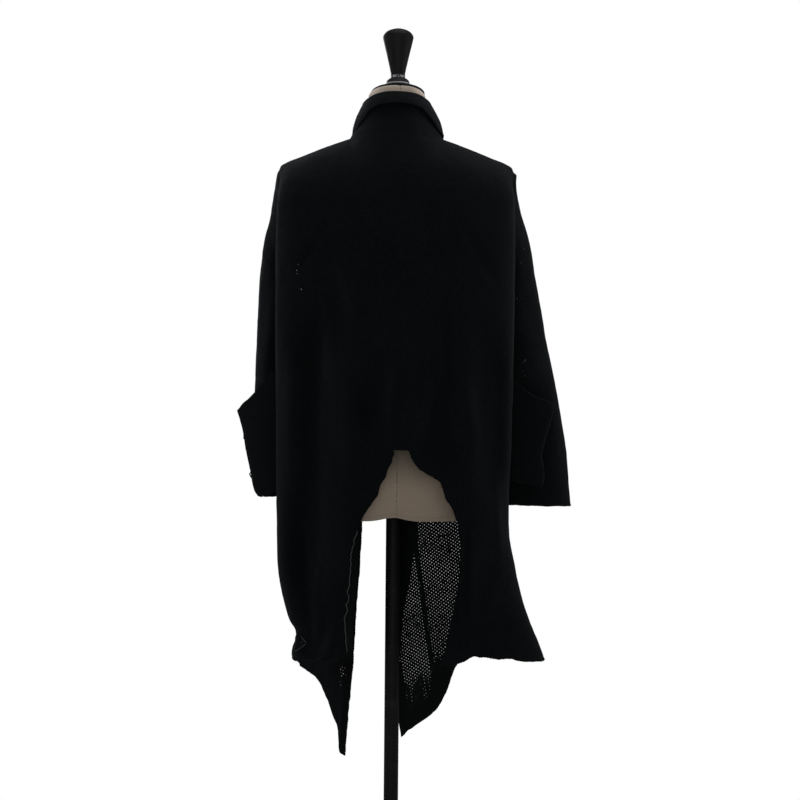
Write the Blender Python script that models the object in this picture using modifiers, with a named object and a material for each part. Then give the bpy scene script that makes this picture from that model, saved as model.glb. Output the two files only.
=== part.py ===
"""A long draped knit cardigan on a linen dress form with a pole and a round foot.

Metres, +Z up. The origin is the centre of the foot's underside, the garment's front faces -Y,
and +X is the wearer's left. Every panel is a thin knit wall laid over sections that are worked
out from the tables below.
"""
import math

import bmesh
import bpy
import numpy as np
from mathutils import Vector

# ---- driving dimensions ----
WALL = 0.0024             # knit wall
SEAM_GAP = 0.0009         # between two walls' middles at a seam: 0.3 mm where they meet at an angle
MATING_GAP = 0.0003       # between hard pieces that touch

FOOT_RADIUS = 0.160
FOOT_HEIGHT = 0.016
POLE_RADIUS = 0.0135
TORSO_BOTTOM = 0.700
NECK_TOP = 1.489          # of the slanting neck, over the pole's axis
NECK_FOOT = 1.430         # where the neck's rings start to slant
NECK_SLANT = 0.20         # rise of the neck's top toward the back
NECK_RADIUS = 0.0530
CAP_RIM = 0.0035          # height of the cap's upright rim
CAP_TOP = 1.5125          # the level top of the domed cap
RING_HEIGHT = 0.0095
KNOB_HEIGHT = 0.0880
TURNED_X = -0.0015        # where the cap, the ring and the knob stand

YOKE_Z = 1.270            # below this height the body hangs in level sections
HEM_Z = 0.225             # lowest level section
LEVEL_STEP = 0.015
SECTION_POINTS = 81       # along one level section
BACK_ROUND = 2.5          # superellipse exponents of the body's sections
FRONT_ROUND = 2.3
FORM_ROUND = 2.15

ARMHOLE_TOP = 1.348
ARMHOLE_BOTTOM = 1.120
ARMHOLE_MID_Y = -0.022
ARMHOLE_HALF_DEPTH = 0.041
ARMHOLE_INSET = WALL / 2 + 0.0021   # of a sleeve's first ring from the armhole's edge
ARMHOLE_LEDGE = (0.003, 0.008)      # how far a sleeve comes straight out, at the top and at the underarm
NECK_SHARE = 0.30         # share of the back's top edge that is neck seam
FRONT_NECK_SHARE = 0.36   # share of a front's top edge that is neck seam

YOKE_PART = 0.20          # share of a panel's rows that lie above the yoke's height
YOKE_REACH = 0.42         # how far the yoke's curve keeps its end directions
SWING_FROM = 0.92         # below this height the tails leave the arch
HEM_SWING = 0.28          # length above a hem over which the cloth swings toward it
SEAM_CALM = 0.12          # share beside a side seam where the folds die away

PANEL_ROWS = 24
YOKE_ROWS = 6
NECK_COLUMNS = (0.0, 0.14, 0.32, 0.54, 0.77)    # of the back's neck seam, from centre back
SHOULDER_COLUMNS = 9
FRONT_NECK_COLUMNS = 4
SLEEVE_SIDES = 16
SLEEVE_RINGS = 15
COLLAR_COLUMNS = 14       # on each side of centre back

POCKET_INNER_X = 0.2114   # where the bags hang clear of the body's folds
POCKET_MID_Y = 0.0165
POCKET_MOUTH_HALF = 0.0110
POCKET_FLOOR_HALF = 0.0060
POCKET_SIDES = 12
POCKET_ROWS = 6


LEVELS = np.arange(HEM_Z, YOKE_Z + LEVEL_STEP / 2, LEVEL_STEP)
SIGN = {"left": 1, "right": -1}


class Table:
    """Rows of named columns, read at any value of the first column by a smooth monotone curve."""

    def __init__(self, names, *rows):
        self.names = names.split()
        self.rows = np.array(sorted(rows))

    def at(self, key, name):
        keys = self.rows[:, 0]
        values = self.rows[:, self.names.index(name)]
        slope = np.diff(values) / np.diff(keys)
        bend = np.zeros(len(keys))
        bend[0], bend[-1] = slope[0], slope[-1]
        for i in range(1, len(keys) - 1):
            if slope[i - 1] * slope[i] > 0:
                bend[i] = 2 * slope[i - 1] * slope[i] / (slope[i - 1] + slope[i])
        key = min(max(key, keys[0]), keys[-1])
        i = min(int(np.searchsorted(keys, key, side="right")) - 1, len(keys) - 2)
        step = keys[i + 1] - keys[i]
        t = (key - keys[i]) / step
        return float((2 * t ** 3 - 3 * t ** 2 + 1) * values[i] + (t ** 3 - 2 * t ** 2 + t) * step * bend[i]
                     + (3 * t ** 2 - 2 * t ** 3) * values[i + 1] + (t ** 3 - t ** 2) * step * bend[i + 1])


# The torso's level sections: half width, and depth behind and in front of the pole's axis.
TORSO = Table("z half_width behind ahead",
              (TORSO_BOTTOM, 0.166, 0.104, 0.104), (0.712, 0.171, 0.109, 0.109), (0.780, 0.175, 0.112, 0.112),
              (0.840, 0.174, 0.112, 0.110), (0.930, 0.150, 0.098, 0.096), (1.030, 0.125, 0.086, 0.088),
              (1.120, 0.139, 0.094, 0.104), (1.200, 0.160, 0.101, 0.116), (1.270, 0.173, 0.099, 0.106),
              (1.315, 0.180, 0.085, 0.086), (1.348, 0.172, 0.069, 0.069), (1.369, 0.151, 0.060, 0.059),
              (1.385, 0.121, 0.056, 0.056), (1.400, 0.087, 0.055, 0.055), (1.416, 0.067, 0.055, 0.055),
              (1.440, 0.0555, 0.0545, 0.0545), (1.465, NECK_RADIUS, NECK_RADIUS, NECK_RADIUS),
              (NECK_TOP, NECK_RADIUS, NECK_RADIUS, NECK_RADIUS))

TORSO_HEIGHTS = (TORSO_BOTTOM, 0.712, 0.75, 0.79, 0.84, 0.885, 0.93, 0.98, 1.03, 1.08, 1.13, 1.18, 1.23,
                 1.275, 1.31, 1.335, 1.355, 1.370, 1.384, 1.398, 1.413, 1.43, 1.448, 1.468, NECK_TOP)
TORSO_SIDES = 28
# The cap's rings from its level top out to its rim, as radius and share of the rise.
CAP_DOME = ((0.0225, 1.00), (0.0330, 0.72), (0.0420, 0.46), (0.0490, 0.14), (0.0512, 0.00))
CAP_SIDES = 40

# Where the body folds round at the side, and its side seam, for each side and height.
SIDE = {
    "left": Table("z fold_x fold_y seam_x seam_y",
                  (1.270, 0.2200, 0.030, 0.212, -0.020), (1.200, 0.2200, 0.036, 0.206, -0.020),
                  (1.120, 0.2190, 0.040, 0.199, -0.020), (1.000, 0.2180, 0.042, 0.192, -0.014),
                  (0.850, 0.2170, 0.042, 0.190, -0.009), (0.717, 0.2150, 0.042, 0.190, -0.008),
                  (0.625, 0.2130, 0.042, 0.189, -0.006), (0.588, 0.2090, 0.042, 0.187, -0.004),
                  (0.551, 0.2010, 0.042, 0.182, -0.002), (0.514, 0.1900, 0.040, 0.175, 0.000),
                  (0.480, 0.1820, 0.038, 0.171, 0.002), (0.444, 0.1830, 0.036, 0.173, 0.004)),
    "right": Table("z fold_x fold_y seam_x seam_y",
                   (1.270, 0.2195, 0.030, 0.212, -0.020), (1.200, 0.2200, 0.036, 0.206, -0.020),
                   (1.120, 0.2195, 0.040, 0.199, -0.020), (1.000, 0.2190, 0.042, 0.192, -0.014),
                   (0.850, 0.2160, 0.042, 0.190, -0.009), (0.720, 0.2100, 0.042, 0.186, -0.008),
                   (0.662, 0.2140, 0.042, 0.190, -0.006), (0.588, 0.2300, 0.042, 0.206, -0.002),
                   (0.551, 0.2400, 0.041, 0.217, 0.002), (0.514, 0.2530, 0.040, 0.233, 0.007),
                   (0.477, 0.2680, 0.038, 0.252, 0.012), (0.446, 0.2800, 0.036, 0.268, 0.016)),
}
# How far the panels hang behind and in front of the pole's axis.
DEPTH = Table("z behind ahead",
              (1.270, 0.1120, 0.1190), (1.200, 0.1150, 0.1260), (1.100, 0.1170, 0.1290),
              (1.000, 0.1185, 0.1285), (0.900, 0.1215, 0.1270), (0.830, 0.1240, 0.1255),
              (0.700, 0.1190, 0.1210), (0.600, 0.1130, 0.1180), (0.500, 0.1080, 0.1140),
              (0.400, 0.1050, 0.1110), (0.225, 0.1050, 0.1080))
# The arch cut into the back's hem, from centre back down to the tail's inner corner. A share is a
# column's place between centre back (0) and the side seam (1), and x is toward that side.
ARCH = {
    "left": Table("share x z",
                  (0.00, -0.0115, 0.8310), (0.04, -0.0030, 0.8290), (0.08, 0.0090, 0.8010),
                  (0.13, 0.0235, 0.7700), (0.19, 0.0415, 0.7310), (0.25, 0.0585, 0.7020),
                  (0.32, 0.0735, 0.6420), (0.37, 0.0830, 0.5600), (0.41, 0.0840, 0.5000),
                  (0.44, 0.0830, 0.4560)),
    "right": Table("share x z",
                   (0.00, 0.0115, 0.8310), (0.05, 0.0260, 0.8290), (0.09, 0.0350, 0.8100),
                   (0.15, 0.0590, 0.7880), (0.21, 0.0850, 0.7660), (0.27, 0.1050, 0.7280),
                   (0.33, 0.1220, 0.6750), (0.38, 0.1225, 0.6100), (0.42, 0.1110, 0.5300),
                   (0.46, 0.0905, 0.4370)),
}
TAIL_SHARE = {"left": 0.32, "right": 0.33}    # where the arch's edge turns down along the tail
# The height of the tail's own hem, from its inner corner to the side seam.
TAIL_HEM = {
    "left": Table("share z", (0.44, 0.4560), (0.55, 0.4460), (0.75, 0.4500), (0.90, 0.4520), (1.00, 0.4440)),
    "right": Table("share z", (0.46, 0.4370), (0.55, 0.4400), (0.64, 0.4480), (0.75, 0.4460), (0.86, 0.4430),
                   (0.95, 0.4380), (1.00, 0.4440)),
}
# The fronts' hems, from the side seam (0) to the front edge (1).
FRONT_HEM = {
    "left": Table("share x z",
                  (0.00, 0.1730, 0.4440), (0.12, 0.1620, 0.4100), (0.30, 0.1410, 0.3880),
                  (0.48, 0.1250, 0.3470), (0.64, 0.1140, 0.3120), (0.80, 0.1040, 0.2820),
                  (0.93, 0.1010, 0.2440), (1.00, 0.0940, 0.2360)),
    "right": Table("share x z",
                   (0.00, 0.2690, 0.4440), (0.22, 0.2000, 0.4400), (0.40, 0.1400, 0.4300),
                   (0.50, 0.1190, 0.4020), (0.60, 0.1050, 0.3580), (0.72, 0.0820, 0.3190),
                   (0.84, 0.0560, 0.2980), (0.95, 0.0300, 0.2790), (1.00, 0.0180, 0.2670)),
}
# The free front edges, as distances from the middle toward each side.
FRONT_EDGE = {
    "left": Table("z x", (1.325, 0.064), (1.270, 0.062), (1.000, 0.060), (0.700, 0.061), (0.600, 0.064),
                  (0.530, 0.070), (0.454, 0.076), (0.340, 0.084), (0.236, 0.092)),
    "right": Table("z x", (1.325, 0.064), (1.270, 0.060), (1.120, 0.049), (0.950, 0.032), (0.800, 0.014),
                   (0.690, 0.004), (0.550, 0.005), (0.400, 0.012), (0.267, 0.018)),
}
# The height of the shoulder seam, and the neck seam round to the front edge.
SHOULDER = Table("x z", (0.086, 1.4085), (0.120, 1.3965), (0.150, 1.3845), (0.180, 1.3715), (0.200, 1.3635),
                 (0.213, 1.3560), (0.2195, ARMHOLE_TOP))
NECK_POINT_X = 0.086
SHOULDER_X = 0.2195
SHOULDER_Y = (-0.010, ARMHOLE_MID_Y)          # at the neck point and at the armhole
NECK_BACK_Y = 0.070
NECK_BACK_Z = 1.432
NECK_FRONT = Table("share x y z", (0.00, 0.086, -0.010, 1.4085), (0.33, 0.083, -0.046, 1.3990),
                   (0.66, 0.075, -0.078, 1.3700), (1.00, 0.064, -0.100, 1.3250))

# Soft vertical folds: where they lie (wearer's left is +X), how wide and deep, and between which heights.
BACK_FOLDS = Table("x half_width depth top bottom",
                   (-0.180, 0.022, -0.011, 1.080, 0.740), (-0.139, 0.016, 0.008, 0.740, 0.470),
                   (-0.077, 0.022, -0.005, 1.020, 0.780), (0.051, 0.022, -0.005, 0.990, 0.820),
                   (0.110, 0.026, 0.006, 1.080, 0.560), (0.150, 0.020, -0.010, 1.100, 0.560))
FRONT_FOLDS = Table("x half_width depth top bottom",
                    (-0.150, 0.024, 0.008, 1.100, 0.500), (-0.100, 0.022, -0.008, 1.150, 0.430),
                    (-0.046, 0.020, 0.009, 0.900, 0.330), (0.105, 0.020, 0.008, 1.120, 0.400),
                    (0.140, 0.022, -0.009, 1.150, 0.480))

# A sleeve's rings after its armhole: the outer and the inner end in the XZ plane, and its reach in Y.
SLEEVE = {
    "left": Table("ring outer_x outer_z inner_x inner_z mid_y half_depth",
                  (0.00, 0.2235, 1.335, 0.2060, 1.121, -0.024, 0.0350),
                  (0.08, 0.2300, 1.310, 0.2070, 1.103, -0.027, 0.0360),
                  (0.17, 0.2390, 1.262, 0.2070, 1.080, -0.031, 0.0385),
                  (0.27, 0.2500, 1.200, 0.2065, 1.048, -0.036, 0.0420),
                  (0.38, 0.2570, 1.130, 0.2060, 1.000, -0.042, 0.0450),
                  (0.52, 0.2610, 1.040, 0.2050, 0.950, -0.049, 0.0475),
                  (0.70, 0.2640, 0.935, 0.2050, 0.880, -0.055, 0.0490),
                  (0.86, 0.2610, 0.825, 0.2050, 0.800, -0.057, 0.0490),
                  (1.00, 0.2570, 0.736, 0.2050, 0.738, -0.057, 0.0490)),
    "right": Table("ring outer_x outer_z inner_x inner_z mid_y half_depth",
                   (0.00, 0.2235, 1.335, 0.2060, 1.121, -0.024, 0.0350),
                   (0.08, 0.2275, 1.306, 0.2070, 1.103, -0.026, 0.0360),
                   (0.17, 0.2410, 1.255, 0.2070, 1.080, -0.029, 0.0380),
                   (0.27, 0.2560, 1.200, 0.2070, 1.048, -0.033, 0.0395),
                   (0.38, 0.2680, 1.130, 0.2070, 1.005, -0.036, 0.0395),
                   (0.52, 0.2850, 1.030, 0.2080, 0.955, -0.038, 0.0370),
                   (0.70, 0.3080, 0.925, 0.2100, 0.880, -0.038, 0.0330),
                   (0.86, 0.3250, 0.820, 0.2120, 0.800, -0.038, 0.0300),
                   (1.00, 0.3330, 0.722, 0.2130, 0.727, -0.038, 0.0280)),
}
# A pocket's outline seen from behind: its outer edge, from the hip-high mouth down to its floor.
POCKET = {
    "left": dict(mouth=((POCKET_INNER_X, 0.982), (0.2430, 0.955), (0.2575, 0.937), (0.2920, 0.901)),
                 floor=((POCKET_INNER_X, 0.748), (0.2520, 0.741)), waist=0.002),
    "right": dict(mouth=((POCKET_INNER_X, 0.968), (0.2540, 0.933), (0.2750, 0.925), (0.2960, 0.918)),
                  floor=((POCKET_INNER_X, 0.765), (0.2800, 0.758)), waist=0.010),
}
# The collar's section at five places round the neck (0 centre back, 0.5 beside the neck, 1 front end):
# the stand's top as seen from its foot, the roll's radius, and the turned band's foot.
COLLAR = Table("place in_by stand roll fall_out fall_down",
               (0.00, 0.0080, 0.0470, 0.0050, 0.0080, 0.0280), (0.25, 0.0170, 0.0530, 0.0042, 0.0125, 0.0430),
               (0.50, 0.0285, 0.0675, 0.0030, 0.0220, 0.0610), (0.75, 0.0190, 0.0560, 0.0045, 0.0140, 0.0460),
               (1.00, 0.0060, 0.0360, 0.0055, 0.0080, 0.0280))


def ease(share):
    """Zero below 0, one above 1, smooth between."""
    share = min(max(share, 0.0), 1.0)
    return share * share * (3 - 2 * share)


def mix(a, b, share):
    return a + (b - a) * share


def fold_offset(folds, x, z):
    """How far the folds push the cloth out (positive) or in at one place."""
    offset = 0.0
    for centre, half_width, depth, top, bottom in folds.rows:
        across = abs(x - centre) / half_width
        if across < 2.0:
            along = ease((top - z) / 0.12) * ease((z - bottom) / 0.10 + 0.3)
            offset += depth * along * (0.5 + 0.5 * math.cos(math.pi * min(across / 2.0, 1.0)))
    return offset


# ---- the body's level sections ----
def armhole_reach(z):
    """Half the armhole's depth at a height; nothing below the underarm."""
    middle = (ARMHOLE_TOP + ARMHOLE_BOTTOM) / 2
    half = (ARMHOLE_TOP - ARMHOLE_BOTTOM) / 2
    return ARMHOLE_HALF_DEPTH * math.sqrt(max(0.0, 1 - ((z - middle) / half) ** 2))


def resample(points, count):
    """The same line with its points at even steps of length."""
    points = np.array(points)
    length = np.concatenate([[0.0], np.cumsum(np.linalg.norm(np.diff(points, axis=0), axis=1))])
    even = np.linspace(0.0, length[-1], count)
    return np.column_stack([np.interp(even, length, points[:, axis]) for axis in range(2)])


def back_section(side, z):
    """From centre back round the fold to the side seam or the armhole, seen from above."""
    table = SIDE[side]
    fold_x, fold_y = table.at(z, "fold_x"), table.at(z, "fold_y")
    seam_x = table.at(z, "seam_x")
    seam_y = table.at(z, "seam_y") + armhole_reach(z) if z > ARMHOLE_BOTTOM else table.at(z, "seam_y")
    behind = DEPTH.at(z, "behind")
    points = []
    for turn in np.linspace(0.0, math.pi / 2, SECTION_POINTS):
        x = fold_x * math.sin(turn)
        y = fold_y + (behind - fold_y) * (1 - (x / fold_x) ** BACK_ROUND) ** (1 / BACK_ROUND)
        points.append((x, y))
    for share in np.linspace(0.05, 1.0, 20):
        points.append((mix(fold_x, seam_x, ease(share)), mix(fold_y, seam_y, share)))
    return resample(points, SECTION_POINTS)


def front_section(side, z):
    """From the side seam or the armhole round to the free front edge, seen from above."""
    seam_x = SIDE[side].at(z, "seam_x")
    seam_y = SIDE[side].at(z, "seam_y") - (armhole_reach(z) if z > ARMHOLE_BOTTOM else 0.0)
    ahead = -DEPTH.at(z, "ahead")
    edge_x = FRONT_EDGE[side].at(z, "x")
    end = math.acos(min(edge_x / seam_x, 1.0))
    points = []
    for turn in np.linspace(0.0, end, SECTION_POINTS):
        x = seam_x * math.cos(turn)
        y = seam_y - (seam_y - ahead) * (1 - (x / seam_x) ** FRONT_ROUND) ** (1 / FRONT_ROUND)
        points.append((x, y))
    return resample(points, SECTION_POINTS)


def section_stack(section, side):
    """All the level sections of one panel."""
    return np.array([section(side, z) for z in LEVELS])


def stack_point(stack, share, z):
    """The stacked sections' point at a share of their length and a height."""
    level = min(max((z - LEVELS[0]) / LEVEL_STEP, 0.0), len(LEVELS) - 1.0001)
    along = min(max(share, 0.0), 1.0) * (SECTION_POINTS - 1)
    i, j = int(level), min(int(along), SECTION_POINTS - 2)
    u, v = level - i, along - j
    return (stack[i, j] * (1 - u) * (1 - v) + stack[i + 1, j] * u * (1 - v)
            + stack[i, j + 1] * (1 - u) * v + stack[i + 1, j + 1] * u * v)


# ---- the top edges ----
def shoulder_point(share):
    """On the shoulder seam, from the neck point (0) to the armhole (1)."""
    x = mix(NECK_POINT_X, SHOULDER_X, share)
    return Vector((x, mix(SHOULDER_Y[0], SHOULDER_Y[1], share), SHOULDER.at(x, "z")))


def back_top(share):
    """The back's top edge, from centre back to the armhole, and its direction down the back."""
    if share < NECK_SHARE:
        turn = math.pi / 2 * share / NECK_SHARE
        rise = math.cos(turn)
        point = Vector((NECK_POINT_X * math.sin(turn), mix(SHOULDER_Y[0], NECK_BACK_Y, rise),
                        mix(SHOULDER.at(NECK_POINT_X, "z"), NECK_BACK_Z, rise ** 2)))
        return point, Vector((0, mix(0.95, 0.35, rise), mix(-0.2, -0.9, rise))).normalized()
    return shoulder_point((share - NECK_SHARE) / (1 - NECK_SHARE)), Vector((0, 1, -0.12)).normalized()


def front_top(share):
    """A front's top edge, from the armhole to the front edge, and its direction down the front."""
    if share > 1 - FRONT_NECK_SHARE:
        along = (share - 1 + FRONT_NECK_SHARE) / FRONT_NECK_SHARE
        point = Vector([NECK_FRONT.at(along, name) for name in ("x", "y", "z")])
        return point, Vector((0, mix(-0.95, -0.45, along), mix(-0.2, -0.9, along))).normalized()
    return shoulder_point(1 - share / (1 - FRONT_NECK_SHARE)), Vector((0, -1, -0.12)).normalized()


def bezier(a, b, c, d, share):
    rest = 1 - share
    return a * rest ** 3 + b * (3 * rest * rest * share) + c * (3 * rest * share * share) + d * share ** 3


def yoke_point(stack, top, share, t):
    """From the top edge (t 0) over the shoulder blades or the chest to the yoke's height (t 1)."""
    start, direction = top(share)
    x, y = stack_point(stack, share, YOKE_Z)
    yoke = Vector((x, y, YOKE_Z))
    reach = (yoke - start).length * YOKE_REACH
    return bezier(start, start + direction * reach, yoke + Vector((0, 0, reach)), yoke, t)


def back_place(side, share, z):
    """Toward which x a column of the back hangs at a height, round the arch cut into its hem."""
    arch, stack = ARCH[side], STACKS[back_section, side]
    x, y = stack_point(stack, share, z)
    edge_share = TAIL_SHARE[side]
    edge_z = arch.at(edge_share, "z")
    if z < edge_z:
        by_height = Table("z share x", *((row[2], row[0], row[1]) for row in arch.rows))
        edge_share, edge_x = by_height.at(z, "share"), by_height.at(z, "x")
    else:
        own = stack_point(stack, edge_share, z)[0]
        edge_x = mix(own, arch.at(edge_share, "x"), ease((SWING_FROM - z) / (SWING_FROM - edge_z)))
    edge_own = stack_point(stack, edge_share, z)[0]
    if share >= edge_share:
        fold_x = SIDE[side].at(z, "fold_x")
        spread = (fold_x - edge_x) / (fold_x - edge_own)
        return fold_x - (fold_x - x) * spread if y > SIDE[side].at(z, "fold_y") else x, y
    hem_z = arch.at(share, "z")
    scaled = x * edge_x / edge_own
    hem_scaled = stack_point(stack, share, hem_z)[0] * edge_x / edge_own
    return scaled + (arch.at(share, "x") - hem_scaled) * ease(1 - (z - hem_z) / HEM_SWING), y


def back_point(side, share, t):
    """The back's cloth: t runs from its top edge (0) over the yoke to its hem (1)."""
    sign = SIGN[side]
    if t < YOKE_PART:
        point = yoke_point(STACKS[back_section, side], back_top, share, t / YOKE_PART)
        return Vector((point.x * sign, point.y, point.z))
    corner = ARCH[side].rows[-1][0]
    hem_z = ARCH[side].at(share, "z") if share < corner else TAIL_HEM[side].at(share, "z")
    z = mix(YOKE_Z, hem_z, (t - YOKE_PART) / (1 - YOKE_PART))
    x, y = back_place(side, share, z)
    folds = fold_offset(BACK_FOLDS, x * sign, z) * ease((1 - share) / SEAM_CALM - 1)
    return Vector((x * sign, y + folds, z))


def front_point(side, share, t):
    """A front's cloth: t runs from its top edge (0) over the yoke to its hem (1)."""
    sign, stack, hem = SIGN[side], STACKS[front_section, side], FRONT_HEM[side]
    if t < YOKE_PART:
        point = yoke_point(stack, front_top, share, t / YOKE_PART)
        return Vector((point.x * sign, point.y, point.z))
    hem_x, hem_z = hem.at(share, "x"), hem.at(share, "z")
    z = mix(YOKE_Z, hem_z, (t - YOKE_PART) / (1 - YOKE_PART))
    x, y = stack_point(stack, share, z)
    swing = ease(1 - (z - hem_z) / HEM_SWING) * ease(share / SEAM_CALM)
    x += (hem_x - stack_point(stack, share, hem_z)[0]) * swing
    folds = fold_offset(FRONT_FOLDS, x * sign, z) * ease(share / SEAM_CALM - 0.5)
    return Vector((x * sign, y - folds, z))


STACKS = {(section, side): section_stack(section, side)
          for section in (back_section, front_section) for side in ("left", "right")}


# ---- making objects ----
def make_material(name, colour, roughness, metallic=0.0):
    material = bpy.data.materials.new(name)
    material.use_nodes = True
    shader = material.node_tree.nodes["Principled BSDF"]
    shader.inputs["Base Color"].default_value = (*colour, 1.0)
    shader.inputs["Roughness"].default_value = roughness
    shader.inputs["Metallic"].default_value = metallic
    material.diffuse_color = (*colour, 1.0)
    return material


def add_object(name, mesh, material):
    mesh.shade_smooth()
    mesh.materials.append(material)
    item = bpy.data.objects.new(name, mesh)
    collection.objects.link(item)
    return item


def mesh_of_grid(name, rows, closed=False, floor=False, lid=False):
    """Faces between rows of points. Closed joins each row's ends; floor and lid cap the last and first row."""
    build = bmesh.new()
    grid = [[build.verts.new(point) for point in row] for row in rows]
    count = len(grid[0])
    for upper, lower in zip(grid, grid[1:]):
        for i in range(count if closed else count - 1):
            j = (i + 1) % count
            build.faces.new((upper[i], lower[i], lower[j], upper[j]))
    if lid:
        build.faces.new(grid[0])
    if floor:
        build.faces.new(list(reversed(grid[-1])))
    bmesh.ops.recalc_face_normals(build, faces=build.faces)
    if closed and build.calc_volume(signed=True) < 0:
        bmesh.ops.reverse_faces(build, faces=build.faces)
    mesh = bpy.data.meshes.new(name)
    build.to_mesh(mesh)
    build.free()
    return mesh


def add_cloth(name, rows, closed=False, floor=False, offset=0.0):
    """A knit panel: a wall on the surface through the rows."""
    item = add_object(name, mesh_of_grid(name, rows, closed, floor), knit)
    wall = item.modifiers.new("wall", "SOLIDIFY")
    wall.thickness = WALL
    wall.offset = offset
    return item


def add_turned(name, profile, material, steps, x=0.0):
    """A turned solid; its profile is (radius, height) pairs from the top down its outer side."""
    mesh = bpy.data.meshes.new(name)
    outline = [(0.0, profile[0][1]), *profile, (0.0, profile[-1][1])]
    points = [(radius, 0.0, z) for radius, z in outline]
    mesh.from_pydata(points, [(i, i + 1) for i in range(len(points) - 1)], [])
    item = add_object(name, mesh, material)
    item.location.x = x
    turn = item.modifiers.new("turn", "SCREW")
    turn.steps = turn.render_steps = steps
    turn.use_merge_vertices = True
    turn.merge_threshold = 0.00005
    turn.use_normal_calculate = False
    return item


# ---- the cardigan ----
def rows_between(start, end, count):
    return [mix(start, end, i / (count - 1)) for i in range(count)]


def panel_rows():
    """Row places from the top edge to the hem, denser over the yoke."""
    yoke = rows_between(0.0, YOKE_PART, YOKE_ROWS)
    return yoke + rows_between(YOKE_PART, 1.0, PANEL_ROWS - YOKE_ROWS + 1)[1:]


def back_shares():
    """Column places from centre back to the armhole, which meet the front's on the shoulder seam."""
    neck = [NECK_SHARE * step for step in NECK_COLUMNS]
    return neck + rows_between(NECK_SHARE, 1.0, SHOULDER_COLUMNS + 1)


def front_shares():
    shoulder = rows_between(0.0, 1 - FRONT_NECK_SHARE, SHOULDER_COLUMNS + 1)
    return shoulder + rows_between(1 - FRONT_NECK_SHARE, 1.0, FRONT_NECK_COLUMNS + 1)[1:]


def pulled_in(row, start_gap, end_gap):
    """The row with its ends drawn in along itself, which leaves the seam's gap."""
    row = list(row)
    if start_gap:
        row[0] = row[0] + (row[1] - row[0]).normalized() * start_gap
    if end_gap:
        row[-1] = row[-1] + (row[-2] - row[-1]).normalized() * end_gap
    return row


def seam_trim(rows, top_gap):
    """Draws the top row down its columns by a gap, in place."""
    rows[0] = [a + (b - a).normalized() * top_gap for a, b in zip(rows[0], rows[1])]
    return rows


def make_back():
    rows = []
    for t in panel_rows():
        left = [back_point("left", share, t) for share in reversed(back_shares())]
        right = [back_point("right", share, t) for share in back_shares()]
        left[-1] = (left[-1] + right[0]) / 2
        rows.append(pulled_in(left + right[1:], SEAM_GAP / 2, SEAM_GAP / 2))
    add_cloth("back", seam_trim(rows, SEAM_GAP / 2))


def make_front(side):
    rows = []
    for t in panel_rows():
        row = [front_point(side, share, t) for share in front_shares()]
        rows.append(pulled_in(row, SEAM_GAP / 2, 0.0))
    add_cloth("front_" + side, seam_trim(rows, SEAM_GAP / 2))


def armhole_loop(side, inset):
    """The sleeve's first ring: the armhole's own edges, drawn in toward its middle."""
    half = SLEEVE_SIDES // 2
    loop = []
    for point, last in ((back_point, 1.0), (front_point, 0.0)):
        edge = []
        for t in panel_rows():
            edge.append(point(side, last, t))
            if edge[-1].z < ARMHOLE_BOTTOM:
                break
        path = np.array([tuple(p) for p in edge])
        length = np.concatenate([[0.0], np.cumsum(np.linalg.norm(np.diff(path, axis=0), axis=1))])
        even = np.linspace(0.0, length[-1], half + 1)
        loop.append([Vector([np.interp(value, length, path[:, axis]) for axis in range(3)]) for value in even])
    ring = loop[0] + list(reversed(loop[1]))[1:-1]
    middle = sum(ring, Vector()) / len(ring)
    return [p + (middle - p).normalized() * inset for p in ring]


def sleeve_rings(side):
    """Rings down a sleeve: straight out of the armhole, then bent down to the cuff's hem."""
    table, sign = SLEEVE[side], SIGN[side]
    first = armhole_loop(side, ARMHOLE_INSET)
    second = []
    for j, point in enumerate(first):
        low = 0.5 - 0.5 * math.cos(2 * math.pi * j / SLEEVE_SIDES)
        second.append(point + Vector((mix(*ARMHOLE_LEDGE, low) * sign, 0, 0)))
    rings = [first, second]
    for k in range(1, SLEEVE_RINGS):
        place = (k / (SLEEVE_RINGS - 1)) ** 1.15
        outer = Vector((table.at(place, "outer_x"), 0.0, table.at(place, "outer_z")))
        inner = Vector((table.at(place, "inner_x"), 0.0, table.at(place, "inner_z")))
        mid_y, half_depth = table.at(place, "mid_y"), table.at(place, "half_depth")
        own = 1 - ease(place / 0.16)
        ring = []
        for j in range(SLEEVE_SIDES):
            turn = 2 * math.pi * j / SLEEVE_SIDES
            point = (outer + inner) / 2 + (outer - inner) / 2 * math.cos(turn)
            point = Vector((point.x * sign, mid_y + half_depth * math.sin(turn), point.z))
            ring.append(point.lerp(second[j], own))
        rings.append(ring)
    return rings


def make_sleeve(side):
    add_cloth("sleeve_" + side, sleeve_rings(side), closed=True)


def line_at(points, x):
    xs, zs = zip(*points)
    return float(np.interp(x, xs, zs))


def pocket_rings(side):
    """Level bands round the bag, from its slanted mouth down to its floor."""
    spec, sign = POCKET[side], SIGN[side]
    mouth_x, floor_x = spec["mouth"][-1][0], spec["floor"][-1][0]
    rings = []
    for k in range(POCKET_ROWS):
        down = k / (POCKET_ROWS - 1)
        outer_x = mix(mouth_x, floor_x, down) - spec["waist"] * math.sin(math.pi * down)
        half = mix(POCKET_MOUTH_HALF, POCKET_FLOOR_HALF, ease(down))
        ring = []
        for j in range(POCKET_SIDES):
            turn = 2 * math.pi * (j + 0.5) / POCKET_SIDES
            share = 0.5 - 0.5 * math.cos(turn)
            x = mix(POCKET_INNER_X, outer_x, share)
            top = line_at(spec["mouth"], mix(POCKET_INNER_X, mouth_x, share))
            bottom = line_at(spec["floor"], mix(POCKET_INNER_X, floor_x, share))
            ring.append(Vector((x * sign, POCKET_MID_Y + half * math.sin(turn), mix(top, bottom, down))))
        rings.append(ring)
    return rings


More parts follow.
